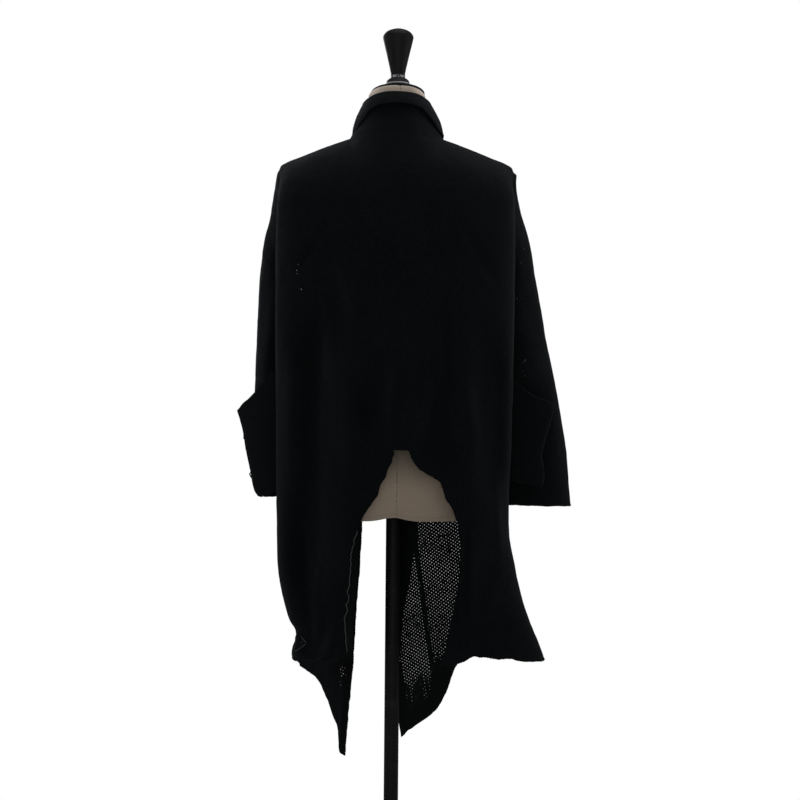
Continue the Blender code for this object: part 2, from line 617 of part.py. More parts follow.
def make_pocket(side):
    """A bag open at its mouth, with its knit inside its outline."""
    add_cloth("pocket_" + side, pocket_rings(side), closed=True, floor=True, offset=-1.0)


def neck_seam(place):
    """The neck seam: 0 is centre back, 1 and -1 are the two front edges."""
    along, sign = abs(place), 1 if place >= 0 else -1
    if along < 0.5:
        point = back_top(along / 0.5 * NECK_SHARE)[0]
    else:
        point = Vector([NECK_FRONT.at((along - 0.5) / 0.5, name) for name in ("x", "y", "z")])
    return Vector((point.x * sign, point.y, point.z))


def collar_line(place):
    """One section of the collar: up its stand, over the roll, and down the turned band."""
    base = neck_seam(place)
    shape = {name: COLLAR.at(abs(place), name) for name in COLLAR.names[1:]}
    tangent = neck_seam(min(place + 0.02, 1.0)) - neck_seam(max(place - 0.02, -1.0))
    out = Vector((tangent.y, -tangent.x, 0.0)).normalized()
    if out.dot(Vector((base.x, base.y + 0.02, 0.0))) < 0:
        out = -out
    up = Vector((0, 0, 1))
    beside = ease((abs(place) - 0.2) / 0.25)
    foot = base - out * mix(WALL, WALL - SEAM_GAP / 2, beside) + up * mix(0.0, 0.0012, beside)
    line = []
    for share in (0.0, 0.3, 0.65, 1.0):
        line.append(foot - out * shape["in_by"] * math.sin(share * math.pi / 2) + up * shape["stand"] * share)
    middle = line[-1] + out * shape["roll"]
    for turn in (0.75, 0.5, 0.25, 0.0):
        line.append(middle + out * shape["roll"] * math.cos(turn * math.pi)
                    + up * shape["roll"] * 1.1 * math.sin(turn * math.pi))
    for share in (0.35, 0.7, 1.0):
        line.append(line[7] + out * shape["fall_out"] * math.sin(share * math.pi / 2)
                    - up * shape["fall_down"] * share)
    return line


def make_collar():
    places = [i / COLLAR_COLUMNS for i in range(-COLLAR_COLUMNS, COLLAR_COLUMNS + 1)]
    add_cloth("collar", [collar_line(place) for place in places])


# ---- the dress form ----
def torso_ring(z):
    """A level ring of the torso, rounder than its box and flatter than an ellipse."""
    width, behind, ahead = (TORSO.at(z, name) for name in ("half_width", "behind", "ahead"))
    ring = []
    for i in range(TORSO_SIDES):
        turn = 2 * math.pi * i / TORSO_SIDES
        c, s = math.cos(turn), math.sin(turn)
        x = width * math.copysign(abs(c) ** (2 / FORM_ROUND), c)
        y = (behind if s > 0 else ahead) * math.copysign(abs(s) ** (2 / FORM_ROUND), s)
        slant = NECK_SLANT * ease((z - NECK_FOOT) / (NECK_TOP - NECK_FOOT))
        ring.append(Vector((x, y, z + slant * y)))
    return ring


def make_torso():
    rings = [torso_ring(z) for z in reversed(TORSO_HEIGHTS)]
    mesh = mesh_of_grid("torso", rings, closed=True, floor=True, lid=True)
    add_object("torso", mesh, linen)


def neck_cap_mesh():
    """The domed cap: an upright rim on the slanting neck, and rings that rise to a level top."""
    rows = []
    for radius, share in CAP_DOME:
        row = []
        for i in range(CAP_SIDES):
            turn = 2 * math.pi * i / CAP_SIDES
            x, y = radius * math.cos(turn), radius * math.sin(turn)
            rim = NECK_TOP + MATING_GAP + CAP_RIM + NECK_SLANT * y
            row.append(Vector((x + TURNED_X, y, mix(rim, CAP_TOP, share))))
        rows.append(row)
    rows.append([point - Vector((0, 0, CAP_RIM)) for point in rows[-1]])
    return mesh_of_grid("neck_cap", rows, closed=True, floor=True, lid=True)


def make_stand():
    add_turned("base_plate", ((0.020, FOOT_HEIGHT), (FOOT_RADIUS - 0.020, FOOT_HEIGHT - 0.004),
                              (FOOT_RADIUS - 0.003, FOOT_HEIGHT - 0.007), (FOOT_RADIUS, FOOT_HEIGHT - 0.010),
                              (FOOT_RADIUS, 0.003), (FOOT_RADIUS - 0.003, 0.0)), paint, 40)
    add_turned("pole", ((POLE_RADIUS, TORSO_BOTTOM - MATING_GAP), (POLE_RADIUS, FOOT_HEIGHT + MATING_GAP)),
               paint, 24)
    add_object("neck_cap", neck_cap_mesh(), lacquer)
    ring = CAP_TOP + MATING_GAP
    add_turned("neck_ring", ((0.0135, ring + RING_HEIGHT), (0.0165, ring + RING_HEIGHT - 0.0015),
                             (0.0200, ring + 0.0045), (0.0212, ring + 0.0005), (0.0212, ring)), steel, 32, TURNED_X)
    knob = ring + RING_HEIGHT + MATING_GAP
    top = knob + KNOB_HEIGHT
    add_turned("neck_knob", ((0.008, top), (0.0150, top - 0.0013), (0.0215, top - 0.0050), (0.0262, top - 0.0105),
                             (0.0280, top - 0.0155), (0.0272, top - 0.0220), (0.0205, knob + 0.036),
                             (0.0150, knob + 0.010), (0.0138, knob)), lacquer, 32, TURNED_X)


for old in list(bpy.data.objects):
    bpy.data.objects.remove(old)
collection = bpy.data.collections.new("cardigan_on_dress_form")
bpy.context.scene.collection.children.link(collection)
knit = make_material("black_knit", (0.010, 0.011, 0.012), 0.90)
linen = make_material("linen", (0.24, 0.21, 0.17), 0.85)
lacquer = make_material("black_lacquer", (0.008, 0.008, 0.009), 0.30)
paint = make_material("black_paint", (0.008, 0.008, 0.009), 0.40)
steel = make_material("polished_steel", (0.62, 0.62, 0.62), 0.25, 1.0)

make_stand()
make_torso()
make_back()
make_collar()
for side_name in ("left", "right"):
    make_front(side_name)
    make_sleeve(side_name)
    make_pocket(side_name)
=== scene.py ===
import itertools
import math

import bmesh
import bpy
import numpy as np
from mathutils import Matrix, Vector


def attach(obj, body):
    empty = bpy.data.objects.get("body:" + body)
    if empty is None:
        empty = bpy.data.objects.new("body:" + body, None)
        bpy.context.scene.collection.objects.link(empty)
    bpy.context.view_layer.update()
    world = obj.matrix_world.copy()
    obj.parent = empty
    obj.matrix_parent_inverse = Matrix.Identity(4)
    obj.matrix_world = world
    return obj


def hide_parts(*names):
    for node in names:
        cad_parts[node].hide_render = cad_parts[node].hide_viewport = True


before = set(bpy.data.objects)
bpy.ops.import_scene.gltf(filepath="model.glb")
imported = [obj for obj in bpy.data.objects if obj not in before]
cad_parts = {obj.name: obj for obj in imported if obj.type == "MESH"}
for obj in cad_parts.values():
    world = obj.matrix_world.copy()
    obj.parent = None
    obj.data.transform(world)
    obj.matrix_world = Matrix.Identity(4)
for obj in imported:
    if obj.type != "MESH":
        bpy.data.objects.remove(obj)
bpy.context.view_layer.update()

scene = bpy.context.scene

# ---- the camera: behind the form, level, at the height of the picture's middle ----
CAMERA_AWAY = 3.0
CAMERA_UP = 0.92
CAMERA_ASIDE = -0.01065
CAMERA_ROLL = math.radians(0.503)
CAMERA_LENS = 72.225

eye = bpy.data.cameras.new("eye")
eye.sensor_width = 36.0
eye.lens = CAMERA_LENS
camera = bpy.data.objects.new("eye", eye)
scene.collection.objects.link(camera)
level = Matrix(((-1, 0, 0), (0, 0, 1), (0, 1, 0))).to_4x4()
camera.matrix_world = (Matrix.Translation((CAMERA_ASIDE, CAMERA_AWAY, CAMERA_UP))
                       @ Matrix.Rotation(CAMERA_ROLL, 4, "Y") @ level)
scene.camera = camera

# ---- the cardigan's sizes, in metres; the wearer's left is +X and the front faces -Y ----
WALL = 0.0020             # knit wall
YOKE_Z = 1.270            # below this height the body hangs in level sections
HEM_Z = 0.225             # lowest level section
LEVEL_STEP = 0.005
SECTION_POINTS = 161
BACK_ROUND = 2.5          # superellipse exponents of the body's sections
FRONT_ROUND = 2.3
FORM_ROUND = 2.15

ARMHOLE_TOP = 1.348
ARMHOLE_BOTTOM = 1.120
ARMHOLE_MID_Y = -0.022
ARMHOLE_HALF_DEPTH = 0.041
ARMHOLE_LEDGE = {"left": (0.003, 0.008), "right": (0.0055, 0.008)}   # how far out at the top, and at the underarm
ARMHOLE_DROP = 0.0045     # how far the sleeve's head falls from the shoulder seam's end
NECK_SHARE = 0.30         # share of the back's top edge that is neck seam
FRONT_NECK_SHARE = 0.36   # share of a front's top edge that is neck seam
YOKE_PART = 0.20          # share of a panel's rows that lie above the yoke's height
YOKE_REACH = 0.42         # how far the yoke's curve keeps its end directions
SWING_FROM = 0.92         # below this height the tails leave the arch
HEM_SWING = 0.28          # length above a hem over which the cloth swings toward it
SEAM_CALM = 0.12          # share beside a side seam where the folds die away
FOLD_FADE = 0.12, 0.10    # height over which a fold dies away, at its top and at its foot

LEVELS = np.arange(HEM_Z, YOKE_Z + LEVEL_STEP / 2, LEVEL_STEP)
SIGN = {"left": 1, "right": -1}


class Table:
    """Rows of named columns, read at any value of the first column by a smooth monotone curve."""

    def __init__(self, names, *rows):
        self.names = names.split()
        self.rows = np.array(sorted(rows), float)

    def at(self, keys, name):
        x, y = self.rows[:, 0], self.rows[:, self.names.index(name)]
        slope = np.diff(y) / np.diff(x)
        bend = np.concatenate([slope[:1], np.zeros(len(x) - 2), slope[-1:]])
        before, after = slope[:-1], slope[1:]
        same = before * after > 0
        bend[1:-1][same] = 2 * before[same] * after[same] / (before[same] + after[same])
        keys = np.clip(keys, x[0], x[-1])
        i = np.clip(np.searchsorted(x, keys, side="right") - 1, 0, len(x) - 2)
        step = x[i + 1] - x[i]
        t = (keys - x[i]) / step
        return ((2 * t ** 3 - 3 * t ** 2 + 1) * y[i] + (t ** 3 - 2 * t ** 2 + t) * step * bend[i]
                + (3 * t ** 2 - 2 * t ** 3) * y[i + 1] + (t ** 3 - t ** 2) * step * bend[i + 1])

    def all(self, keys):
        """Every column after the first."""
        return [self.at(keys, name) for name in self.names[1:]]


# Where the body folds round at the side, and its side seam, for each side and height.
SIDE = {
    "left": Table("z fold_x fold_y seam_x seam_y", (1.27, 0.22, 0.03, 0.212, -0.02),
        (1.2, 0.22, 0.036, 0.206, -0.02), (1.12, 0.219, 0.04, 0.199, -0.02), (1, 0.218, 0.042, 0.192, -0.014),
        (0.85, 0.2165, 0.042, 0.19, -0.009), (0.717, 0.2142, 0.042, 0.19, -0.008),
        (0.625, 0.212, 0.042, 0.189, -0.006), (0.588, 0.208, 0.042, 0.187, -0.004),
        (0.551, 0.1998, 0.042, 0.182, -0.002), (0.514, 0.1888, 0.04, 0.175, 0),
        (0.498, 0.1792, 0.039, 0.17, 0.001), (0.4866, 0.1768, 0.0385, 0.167, 0.0015),
        (0.4755, 0.1782, 0.038, 0.169, 0.002), (0.464, 0.1823, 0.0375, 0.173, 0.0025),
        (0.45, 0.1841, 0.037, 0.174, 0.003), (0.436, 0.179, 0.036, 0.171, 0.004)),
    "right": Table("z fold_x fold_y seam_x seam_y", (1.27, 0.2195, 0.03, 0.212, -0.02),
        (1.2, 0.22, 0.036, 0.206, -0.02), (1.12, 0.2195, 0.04, 0.199, -0.02), (1, 0.219, 0.042, 0.192, -0.014),
        (0.85, 0.216, 0.042, 0.19, -0.009), (0.72, 0.211, 0.042, 0.186, -0.008),
        (0.683, 0.213, 0.042, 0.187, -0.007), (0.662, 0.2155, 0.042, 0.19, -0.006),
        (0.628, 0.2228, 0.042, 0.196, -0.005), (0.588, 0.2305, 0.042, 0.206, -0.002),
        (0.551, 0.24, 0.041, 0.217, 0.002), (0.514, 0.253, 0.04, 0.233, 0.007),
        (0.477, 0.268, 0.038, 0.252, 0.012), (0.446, 0.28, 0.036, 0.268, 0.016)),
}
# How far the panels hang behind and in front of the pole's axis.
DEPTH = Table("z behind ahead", (1.27, 0.112, 0.119), (1.2, 0.115, 0.126), (1.1, 0.117, 0.129),
    (1, 0.1185, 0.1285), (0.9, 0.1215, 0.127), (0.83, 0.124, 0.1255), (0.7, 0.119, 0.121), (0.6, 0.113, 0.118),
    (0.5, 0.108, 0.114), (0.4, 0.105, 0.111), (0.225, 0.105, 0.108))
# The arch cut into the back's hem, from centre back down to the tail's inner corner. A share is a
# column's place between centre back (0) and the side seam (1), and x is toward that side.
ARCH = {
    "left": Table("share x z", (0, -0.0118, 0.8312), (0.045, 0.0022, 0.8308), (0.052, 0.0026, 0.8112),
        (0.068, 0.0085, 0.801), (0.086, 0.014, 0.7835), (0.116, 0.0229, 0.7708), (0.136, 0.0286, 0.7493),
        (0.178, 0.0415, 0.7312), (0.232, 0.0578, 0.7024), (0.3, 0.0735, 0.645), (0.36, 0.0815, 0.565),
        (0.4, 0.085, 0.52), (0.44, 0.0825, 0.456)),
    "right": Table("share x z", (0, 0.0118, 0.8312), (0.048, 0.0262, 0.8308), (0.077, 0.0349, 0.8108),
        (0.119, 0.0476, 0.7966), (0.186, 0.0675, 0.7841), (0.24, 0.084, 0.7736), (0.252, 0.0876, 0.764),
        (0.277, 0.0948, 0.745), (0.305, 0.1056, 0.7288), (0.322, 0.1122, 0.711), (0.338, 0.12, 0.6878),
        (0.35, 0.1224, 0.66), (0.378, 0.1213, 0.615), (0.398, 0.118, 0.579), (0.42, 0.1095, 0.534),
        (0.44, 0.1008, 0.489), (0.46, 0.0886, 0.44)),
}
TAIL_SHARE = {"left": 0.300, "right": 0.345}    # where the arch's edge turns down along the tail
# The height of the tail's own hem, from its inner corner to the side seam.
TAIL_HEM = {
    "left": Table("share z", (0.44, 0.456), (0.55, 0.447), (0.7, 0.4455), (0.78, 0.44), (0.83, 0.442),
        (0.867, 0.443), (0.91, 0.4375), (0.95, 0.4315), (1, 0.4245)),
    "right": Table("share z", (0.46, 0.4385), (0.5, 0.443), (0.54, 0.4478), (0.565, 0.4575), (0.61, 0.4552),
        (0.69, 0.451), (0.725, 0.4518), (0.745, 0.4475), (0.785, 0.4458), (0.86, 0.4432), (1, 0.4425)),
}
# The fronts' hems, from the side seam (0) to the front edge (1).
FRONT_HEM = {
    "left": Table("share x z", (0, 0.1715, 0.424), (0.06, 0.1665, 0.419), (0.12, 0.1612, 0.4115),
        (0.3, 0.1395, 0.39), (0.48, 0.123, 0.3485), (0.64, 0.111, 0.3125), (0.8, 0.1018, 0.2825),
        (0.93, 0.1002, 0.2415), (1, 0.0895, 0.2325)),
    "right": Table("share x z", (0, 0.269, 0.444), (0.22, 0.2, 0.44), (0.4, 0.14, 0.43), (0.5, 0.119, 0.402),
        (0.6, 0.105, 0.358), (0.72, 0.082, 0.319), (0.84, 0.056, 0.298), (0.95, 0.03, 0.279), (1, 0.0185, 0.267)),
}
# The free front edges, as distances from the middle toward each side.
FRONT_EDGE = {
    "left": Table("z x", (1.325, 0.064), (1.27, 0.062), (1, 0.06), (0.7, 0.061), (0.6, 0.0645), (0.53, 0.0695),
        (0.454, 0.0735), (0.396, 0.0755), (0.34, 0.0802), (0.236, 0.087)),
    "right": Table("z x", (1.325, 0.064), (1.27, 0.06), (1.12, 0.049), (0.95, 0.032), (0.8, 0.014), (0.69, 0.004),
        (0.55, 0.004), (0.4, 0.008), (0.34, 0.01), (0.3, 0.014), (0.267, 0.0185)),
}
# The height of the shoulder seam, and the neck seam round to the front edge.
SHOULDER = Table("x z", (0.086, 1.4084), (0.12, 1.3968), (0.15, 1.3858), (0.18, 1.374), (0.2, 1.367),
    (0.209, 1.3625), (0.2155, 1.3588), (0.2182, 1.355), (0.2195, ARMHOLE_TOP + 0.002))
NECK_POINT_X = 0.086
SHOULDER_X = 0.2195
SHOULDER_Y = (-0.010, ARMHOLE_MID_Y)          # at the neck point and at the armhole
NECK_BACK_Y = 0.070
NECK_BACK_Z = 1.432
NECK_FRONT = Table("share x y z", (0, 0.086, -0.01, 1.4085), (0.33, 0.083, -0.046, 1.399),
    (0.66, 0.075, -0.078, 1.37), (1, 0.064, -0.1, 1.325))

# Soft folds: where each lies at the middle of its height (wearer's left is +X), how far its line leans
# per metre of height, how wide and deep it is, and between which heights it runs.
BACK_FOLDS = Table("x lean half_width depth top bottom", (-0.18, 0.02, 0.024, -0.014, 1.08, 0.74),
    (-0.139, 0, 0.016, 0.004, 0.74, 0.47), (-0.112, 0.1, 0.01, -0.004, 0.7, 0.48),
    (-0.077, 0.03, 0.022, -0.008, 1.02, 0.78), (-0.03, -0.02, 0.016, 0.0025, 1.24, 0.86),
    (0.02, 0.03, 0.014, 0.0022, 1.18, 0.85), (0.051, -0.04, 0.024, -0.008, 0.99, 0.82),
    (0.082, 0, 0.015, 0.003, 1.2, 0.78), (0.11, 0.03, 0.026, 0.006, 1.08, 0.56),
    (0.152, -0.03, 0.023, -0.014, 1.1, 0.56), (0.182, 0.05, 0.012, 0.006, 1.05, 0.74),
    (0.157, 0.076, 0.018, -0.01, 0.74, 0.43))
FRONT_FOLDS = Table("x lean half_width depth top bottom", (-0.172, 0.02, 0.014, -0.004, 1, 0.56),
    (-0.15, 0, 0.024, 0.008, 1.1, 0.5), (-0.1, 0.05, 0.022, -0.008, 1.15, 0.43),
    (-0.072, 0.08, 0.01, 0.004, 0.64, 0.36), (-0.046, 0.02, 0.02, 0.009, 0.9, 0.33),
    (0.08, -0.03, 0.012, -0.004, 1.05, 0.46), (0.105, 0, 0.02, 0.008, 1.12, 0.4),
    (0.14, 0.03, 0.022, -0.009, 1.15, 0.48), (0.172, 0, 0.012, 0.004, 1, 0.6))

# A sleeve's rings after its armhole: the outer and the inner end in the XZ plane, and its reach in Y.
SLEEVE = {
    "left": Table("ring outer_x outer_z inner_x inner_z mid_y half_depth",
        (0, 0.2235, 1.335, 0.206, 1.121, -0.024, 0.035), (0.08, 0.23, 1.31, 0.207, 1.103, -0.027, 0.036),
        (0.17, 0.2368, 1.262, 0.207, 1.08, -0.031, 0.0385), (0.27, 0.25, 1.2, 0.2065, 1.048, -0.036, 0.042),
        (0.38, 0.257, 1.13, 0.206, 1, -0.042, 0.045), (0.52, 0.261, 1.04, 0.205, 0.95, -0.049, 0.0475),
        (0.7, 0.264, 0.935, 0.205, 0.88, -0.055, 0.049), (0.86, 0.261, 0.825, 0.205, 0.8, -0.057, 0.049),
        (1, 0.257, 0.736, 0.205, 0.738, -0.057, 0.049)),
    "right": Table("ring outer_x outer_z inner_x inner_z mid_y half_depth",
        (0, 0.2235, 1.335, 0.206, 1.121, -0.024, 0.035), (0.08, 0.2258, 1.304, 0.207, 1.103, -0.026, 0.036),
        (0.17, 0.2402, 1.257, 0.207, 1.08, -0.029, 0.038), (0.27, 0.256, 1.2, 0.207, 1.048, -0.033, 0.0395),
        (0.38, 0.268, 1.13, 0.207, 1.005, -0.036, 0.0395), (0.52, 0.285, 1.03, 0.208, 0.955, -0.038, 0.037),
        (0.7, 0.308, 0.925, 0.21, 0.88, -0.038, 0.033), (0.86, 0.326, 0.82, 0.212, 0.8, -0.038, 0.03),
        (1, 0.3348, 0.723, 0.213, 0.725, -0.038, 0.028)),
}
# A pocket's outline seen from behind: its outer edge, from the hip-high mouth down to its floor.
POCKET_INNER_X = 0.2114
POCKET_MID_Y = 0.0165
POCKET_MOUTH_HALF = 0.0110
POCKET_FLOOR_HALF = 0.0060
# Each pocket's knit is lightened with painted light by its first value, the left one most.
POCKET = {
    "left": dict(pale=0.9, mouth=((POCKET_INNER_X, 0.980), (0.2430, 0.9515), (0.2575, 0.9335), (0.2920, 0.8985)),
                 floor=((POCKET_INNER_X, 0.748), (0.2520, 0.738)),
                 side=Table("z x", (0.738, 0.2520), (0.750, 0.2595), (0.7875, 0.2672), (0.825, 0.2752),
                            (0.862, 0.2812), (0.8985, 0.2920))),
    "right": dict(pale=0.1, mouth=((POCKET_INNER_X, 0.968), (0.2540, 0.932), (0.2750, 0.923), (0.2960, 0.915)),
                  floor=((POCKET_INNER_X, 0.770), (0.2790, 0.760)),
                  side=Table("z x", (0.760, 0.2770), (0.783, 0.2796), (0.820, 0.2752), (0.839, 0.2788),
                             (0.870, 0.2880), (0.900, 0.2950), (0.915, 0.2960))),
}
# The collar's section at places round the neck (0 centre back, 0.5 beside the neck, 1 front end): the
# stand's top as seen from its foot, the roll's radius, and the turned band's foot as seen from the roll.
COLLAR = Table("place in_by stand roll fall_out fall_down", (0, 0.009, 0.047, 0.0045, 0.0055, 0.0168),
    (0.1, 0.011, 0.0485, 0.0043, 0.0058, 0.0176), (0.18, 0.015, 0.0505, 0.004, 0.0062, 0.0215),
    (0.26, 0.0195, 0.053, 0.0036, 0.0085, 0.0335), (0.35, 0.024, 0.057, 0.0034, 0.0135, 0.049),
    (0.5, 0.03, 0.067, 0.003, 0.0205, 0.061), (0.75, 0.019, 0.056, 0.0045, 0.014, 0.046),
    (1, 0.006, 0.036, 0.0055, 0.008, 0.028))
# The form's level sections: half width, and depth behind and in front of the pole's axis.
NECK_RADIUS = 0.0530
NECK_TOP = 1.489
NECK_FOOT = 1.430
NECK_SLANT = 0.20
TORSO_BOTTOM = 0.700
TORSO = Table("z half_width behind ahead", (TORSO_BOTTOM, 0.166, 0.104, 0.104), (0.712, 0.171, 0.109, 0.109),
    (0.78, 0.175, 0.112, 0.112), (0.84, 0.174, 0.112, 0.11), (0.93, 0.15, 0.098, 0.096),
    (1.03, 0.125, 0.086, 0.088), (1.12, 0.139, 0.094, 0.104), (1.2, 0.16, 0.101, 0.116),
    (1.27, 0.173, 0.099, 0.106), (1.315, 0.18, 0.085, 0.086), (1.348, 0.172, 0.069, 0.069),
    (1.369, 0.151, 0.06, 0.059), (1.385, 0.121, 0.056, 0.056), (1.4, 0.087, 0.055, 0.055),
    (1.416, 0.067, 0.055, 0.055), (1.44, 0.0555, 0.0545, 0.0545), (1.465, NECK_RADIUS, NECK_RADIUS, NECK_RADIUS),
    (NECK_TOP, NECK_RADIUS, NECK_RADIUS, NECK_RADIUS))


# ---- small helpers ----
def ease(share):
    """Zero below 0, one above 1, smooth between."""
    share = np.clip(share, 0.0, 1.0)
    return share * share * (3 - 2 * share)


def mix(a, b, share):
    return a + (b - a) * share


def band(value, low, high, soft, soft_high=None):
    """One between two bounds, zero outside them, and soft just inside each."""
    return ease((value - low) / soft) * ease((high - value) / (soft_high or soft))


def unit(vectors):
    return vectors / np.maximum(np.linalg.norm(vectors, axis=-1, keepdims=True), 1e-9)


def stacked(*parts):
    """Columns x, y, z as one array of points."""
    return np.stack(np.broadcast_arrays(*parts), axis=-1)


def lumps(points, size, seed):
    """Smooth noise between -1 and 1, in cells of one size."""
    place = points / size + seed * 17.31
    cell = np.floor(place)
    part = place - cell
    part = part * part * (3 - 2 * part)
    total = 0.0
    for corner in itertools.product((0, 1), repeat=3):
        key = np.sin((cell + corner) @ np.array([127.1, 311.7, 74.7]) + seed) * 43758.5453
        value = (key - np.floor(key)) * 2 - 1
        total = total + value * np.prod(np.where(np.array(corner) == 1, part, 1 - part), axis=-1)
    return total


def fold_offset(folds, x, z):
    """How far the folds push the cloth out (positive) or in."""
    offset = np.zeros(np.broadcast(x, z).shape)
    for centre, lean, half_width, depth, top, bottom in folds.rows:
        line = centre + lean * (z - (top + bottom) / 2)
        across = np.abs(x - line) / half_width
        along = ease((top - z) / FOLD_FADE[0]) * ease((z - bottom) / FOLD_FADE[1] + 0.3)
        offset = offset + depth * along * (0.5 + 0.5 * np.cos(np.pi * np.minimum(across / 2.0, 1.0)))
    return offset


def lengths(points, axis):
    """Length along a grid of points, starting at 0."""
    step = np.linalg.norm(np.diff(points, axis=axis), axis=-1)
    zero = np.zeros_like(np.take(step, [0], axis=axis))
    return np.concatenate([zero, np.cumsum(step, axis=axis)], axis=axis)


def faced(points, toward, closed=False):
    """The normals of a grid of points, turned so that most of them point along toward."""
    if closed:
        around = np.roll(points, -1, axis=1) - np.roll(points, 1, axis=1)
    else:
        around = np.gradient(points, axis=1)
    normals = unit(np.cross(around, np.gradient(points, axis=0)))
    return normals if np.sum(normals * toward) > 0 else -normals


# ---- the body's level sections ----
def armhole_reach(z):
    """Half the armhole's depth at a height; nothing below the underarm."""
    middle = (ARMHOLE_TOP + ARMHOLE_BOTTOM) / 2
    half = (ARMHOLE_TOP - ARMHOLE_BOTTOM) / 2
    return ARMHOLE_HALF_DEPTH * math.sqrt(max(0.0, 1 - ((z - middle) / half) ** 2)) if z > ARMHOLE_BOTTOM else 0.0


def resample(count, *lines):
    """The lines with their points at even steps of the first one's length."""
    length = lengths(lines[0], 0)
    even = np.linspace(0.0, length[-1], count)
    return [np.column_stack([np.interp(even, length, column) for column in line.T]) for line in lines]


def back_section(side, z):
    """From centre back round the fold to the side seam or the armhole, seen from above."""
    fold_x, fold_y, seam_x, seam_y = SIDE[side].all(z)
    behind = DEPTH.at(z, "behind")
    turn = np.linspace(0.0, np.pi / 2, SECTION_POINTS)
    x = fold_x * np.sin(turn)
    y = fold_y + (behind - fold_y) * (1 - np.minimum(np.sin(turn), 1) ** BACK_ROUND) ** (1 / BACK_ROUND)
    share = np.linspace(0.05, 1.0, 20)
    x = np.concatenate([x, mix(fold_x, seam_x, ease(share))])
    y = np.concatenate([y, mix(fold_y, seam_y + armhole_reach(z), share)])
    return resample(SECTION_POINTS, np.column_stack([x, y]))[0]


def front_section(side, z):
    """From the side seam or the armhole round to the free front edge, seen from above."""
    seam_x, seam_y = SIDE[side].all(z)[2:]
    seam_y = seam_y - armhole_reach(z)
    ahead = -DEPTH.at(z, "ahead")
    end = math.acos(min(FRONT_EDGE[side].at(z, "x") / seam_x, 1.0))
    x = seam_x * np.cos(np.linspace(0.0, end, SECTION_POINTS))
    y = seam_y - (seam_y - ahead) * (1 - (x / seam_x) ** FRONT_ROUND) ** (1 / FRONT_ROUND)
    return resample(SECTION_POINTS, np.column_stack([x, y]))[0]


STACKS = {(section, side): np.array([section(side, z) for z in LEVELS])
          for section in (back_section, front_section) for side in ("left", "right")}


def stack_point(stack, share, z):
    """The stacked sections' points at shares of their length and at heights."""
    share, z = np.broadcast_arrays(share, z)
    level = np.clip((z - LEVELS[0]) / LEVEL_STEP, 0.0, len(LEVELS) - 1.0001)
    along = np.clip(share, 0.0, 1.0) * (SECTION_POINTS - 1)
    i, j = level.astype(int), np.minimum(along.astype(int), SECTION_POINTS - 2)
    u, v = (level - i)[..., None], (along - j)[..., None]
    return (stack[i, j] * (1 - u) * (1 - v) + stack[i + 1, j] * u * (1 - v)
            + stack[i, j + 1] * (1 - u) * v + stack[i + 1, j + 1] * u * v)


# ---- the top edges ----
def shoulder_point(share):
    """On the shoulder seam, from the neck point (0) to the armhole (1)."""
    x = mix(NECK_POINT_X, SHOULDER_X, share)
    return stacked(x, mix(SHOULDER_Y[0], SHOULDER_Y[1], share), SHOULDER.at(x, "z"))


def top_edge(on_neck, neck, lean, shoulder, away):
    """A panel's top edge, and its direction down the panel: lean is that direction's y and z on the neck."""
    on_neck = on_neck[..., None]
    return np.where(on_neck, neck, shoulder), unit(np.where(on_neck, stacked(0.0, *lean), (0.0, away, -0.12)))


def back_top(share):
    """From centre back to the armhole."""
    quarter = np.pi / 2 * np.minimum(share / NECK_SHARE, 1.0)
    rise = np.cos(quarter)
    neck = stacked(NECK_POINT_X * np.sin(quarter), mix(SHOULDER_Y[0], NECK_BACK_Y, rise),
                   mix(SHOULDER.at(NECK_POINT_X, "z"), NECK_BACK_Z, rise ** 2))
    return top_edge(share < NECK_SHARE, neck, (mix(0.95, 0.35, rise), mix(-0.2, -0.9, rise)),
                    shoulder_point(np.maximum((share - NECK_SHARE) / (1 - NECK_SHARE), 0.0)), 1.0)


def front_top(share):
    """From the armhole to the front edge."""
    along = np.maximum((share - 1 + FRONT_NECK_SHARE) / FRONT_NECK_SHARE, 0.0)
    return top_edge(share > 1 - FRONT_NECK_SHARE, stacked(*NECK_FRONT.all(along)),
                    (mix(-0.95, -0.45, along), mix(-0.2, -0.9, along)),
                    shoulder_point(1 - np.minimum(share / (1 - FRONT_NECK_SHARE), 1.0)), -1.0)


def yoke_point(stack, top, share, t):
    """From the top edge (t 0) over the shoulder blades or the chest to the yoke's height (t 1)."""
    start, way = top(share)
    flat = stack_point(stack, share, np.full(share.shape, YOKE_Z))
    yoke = stacked(flat[..., 0], flat[..., 1], YOKE_Z)
    reach = np.linalg.norm(yoke - start, axis=-1, keepdims=True) * YOKE_REACH
    t = np.clip(t, 0.0, 1.0)[..., None]
    over, under = start + way * reach, yoke + np.array([0, 0, 1.0]) * reach
    return (start * (1 - t) ** 3 + over * (3 * (1 - t) ** 2 * t) + under * (3 * (1 - t) * t * t) + yoke * t ** 3)


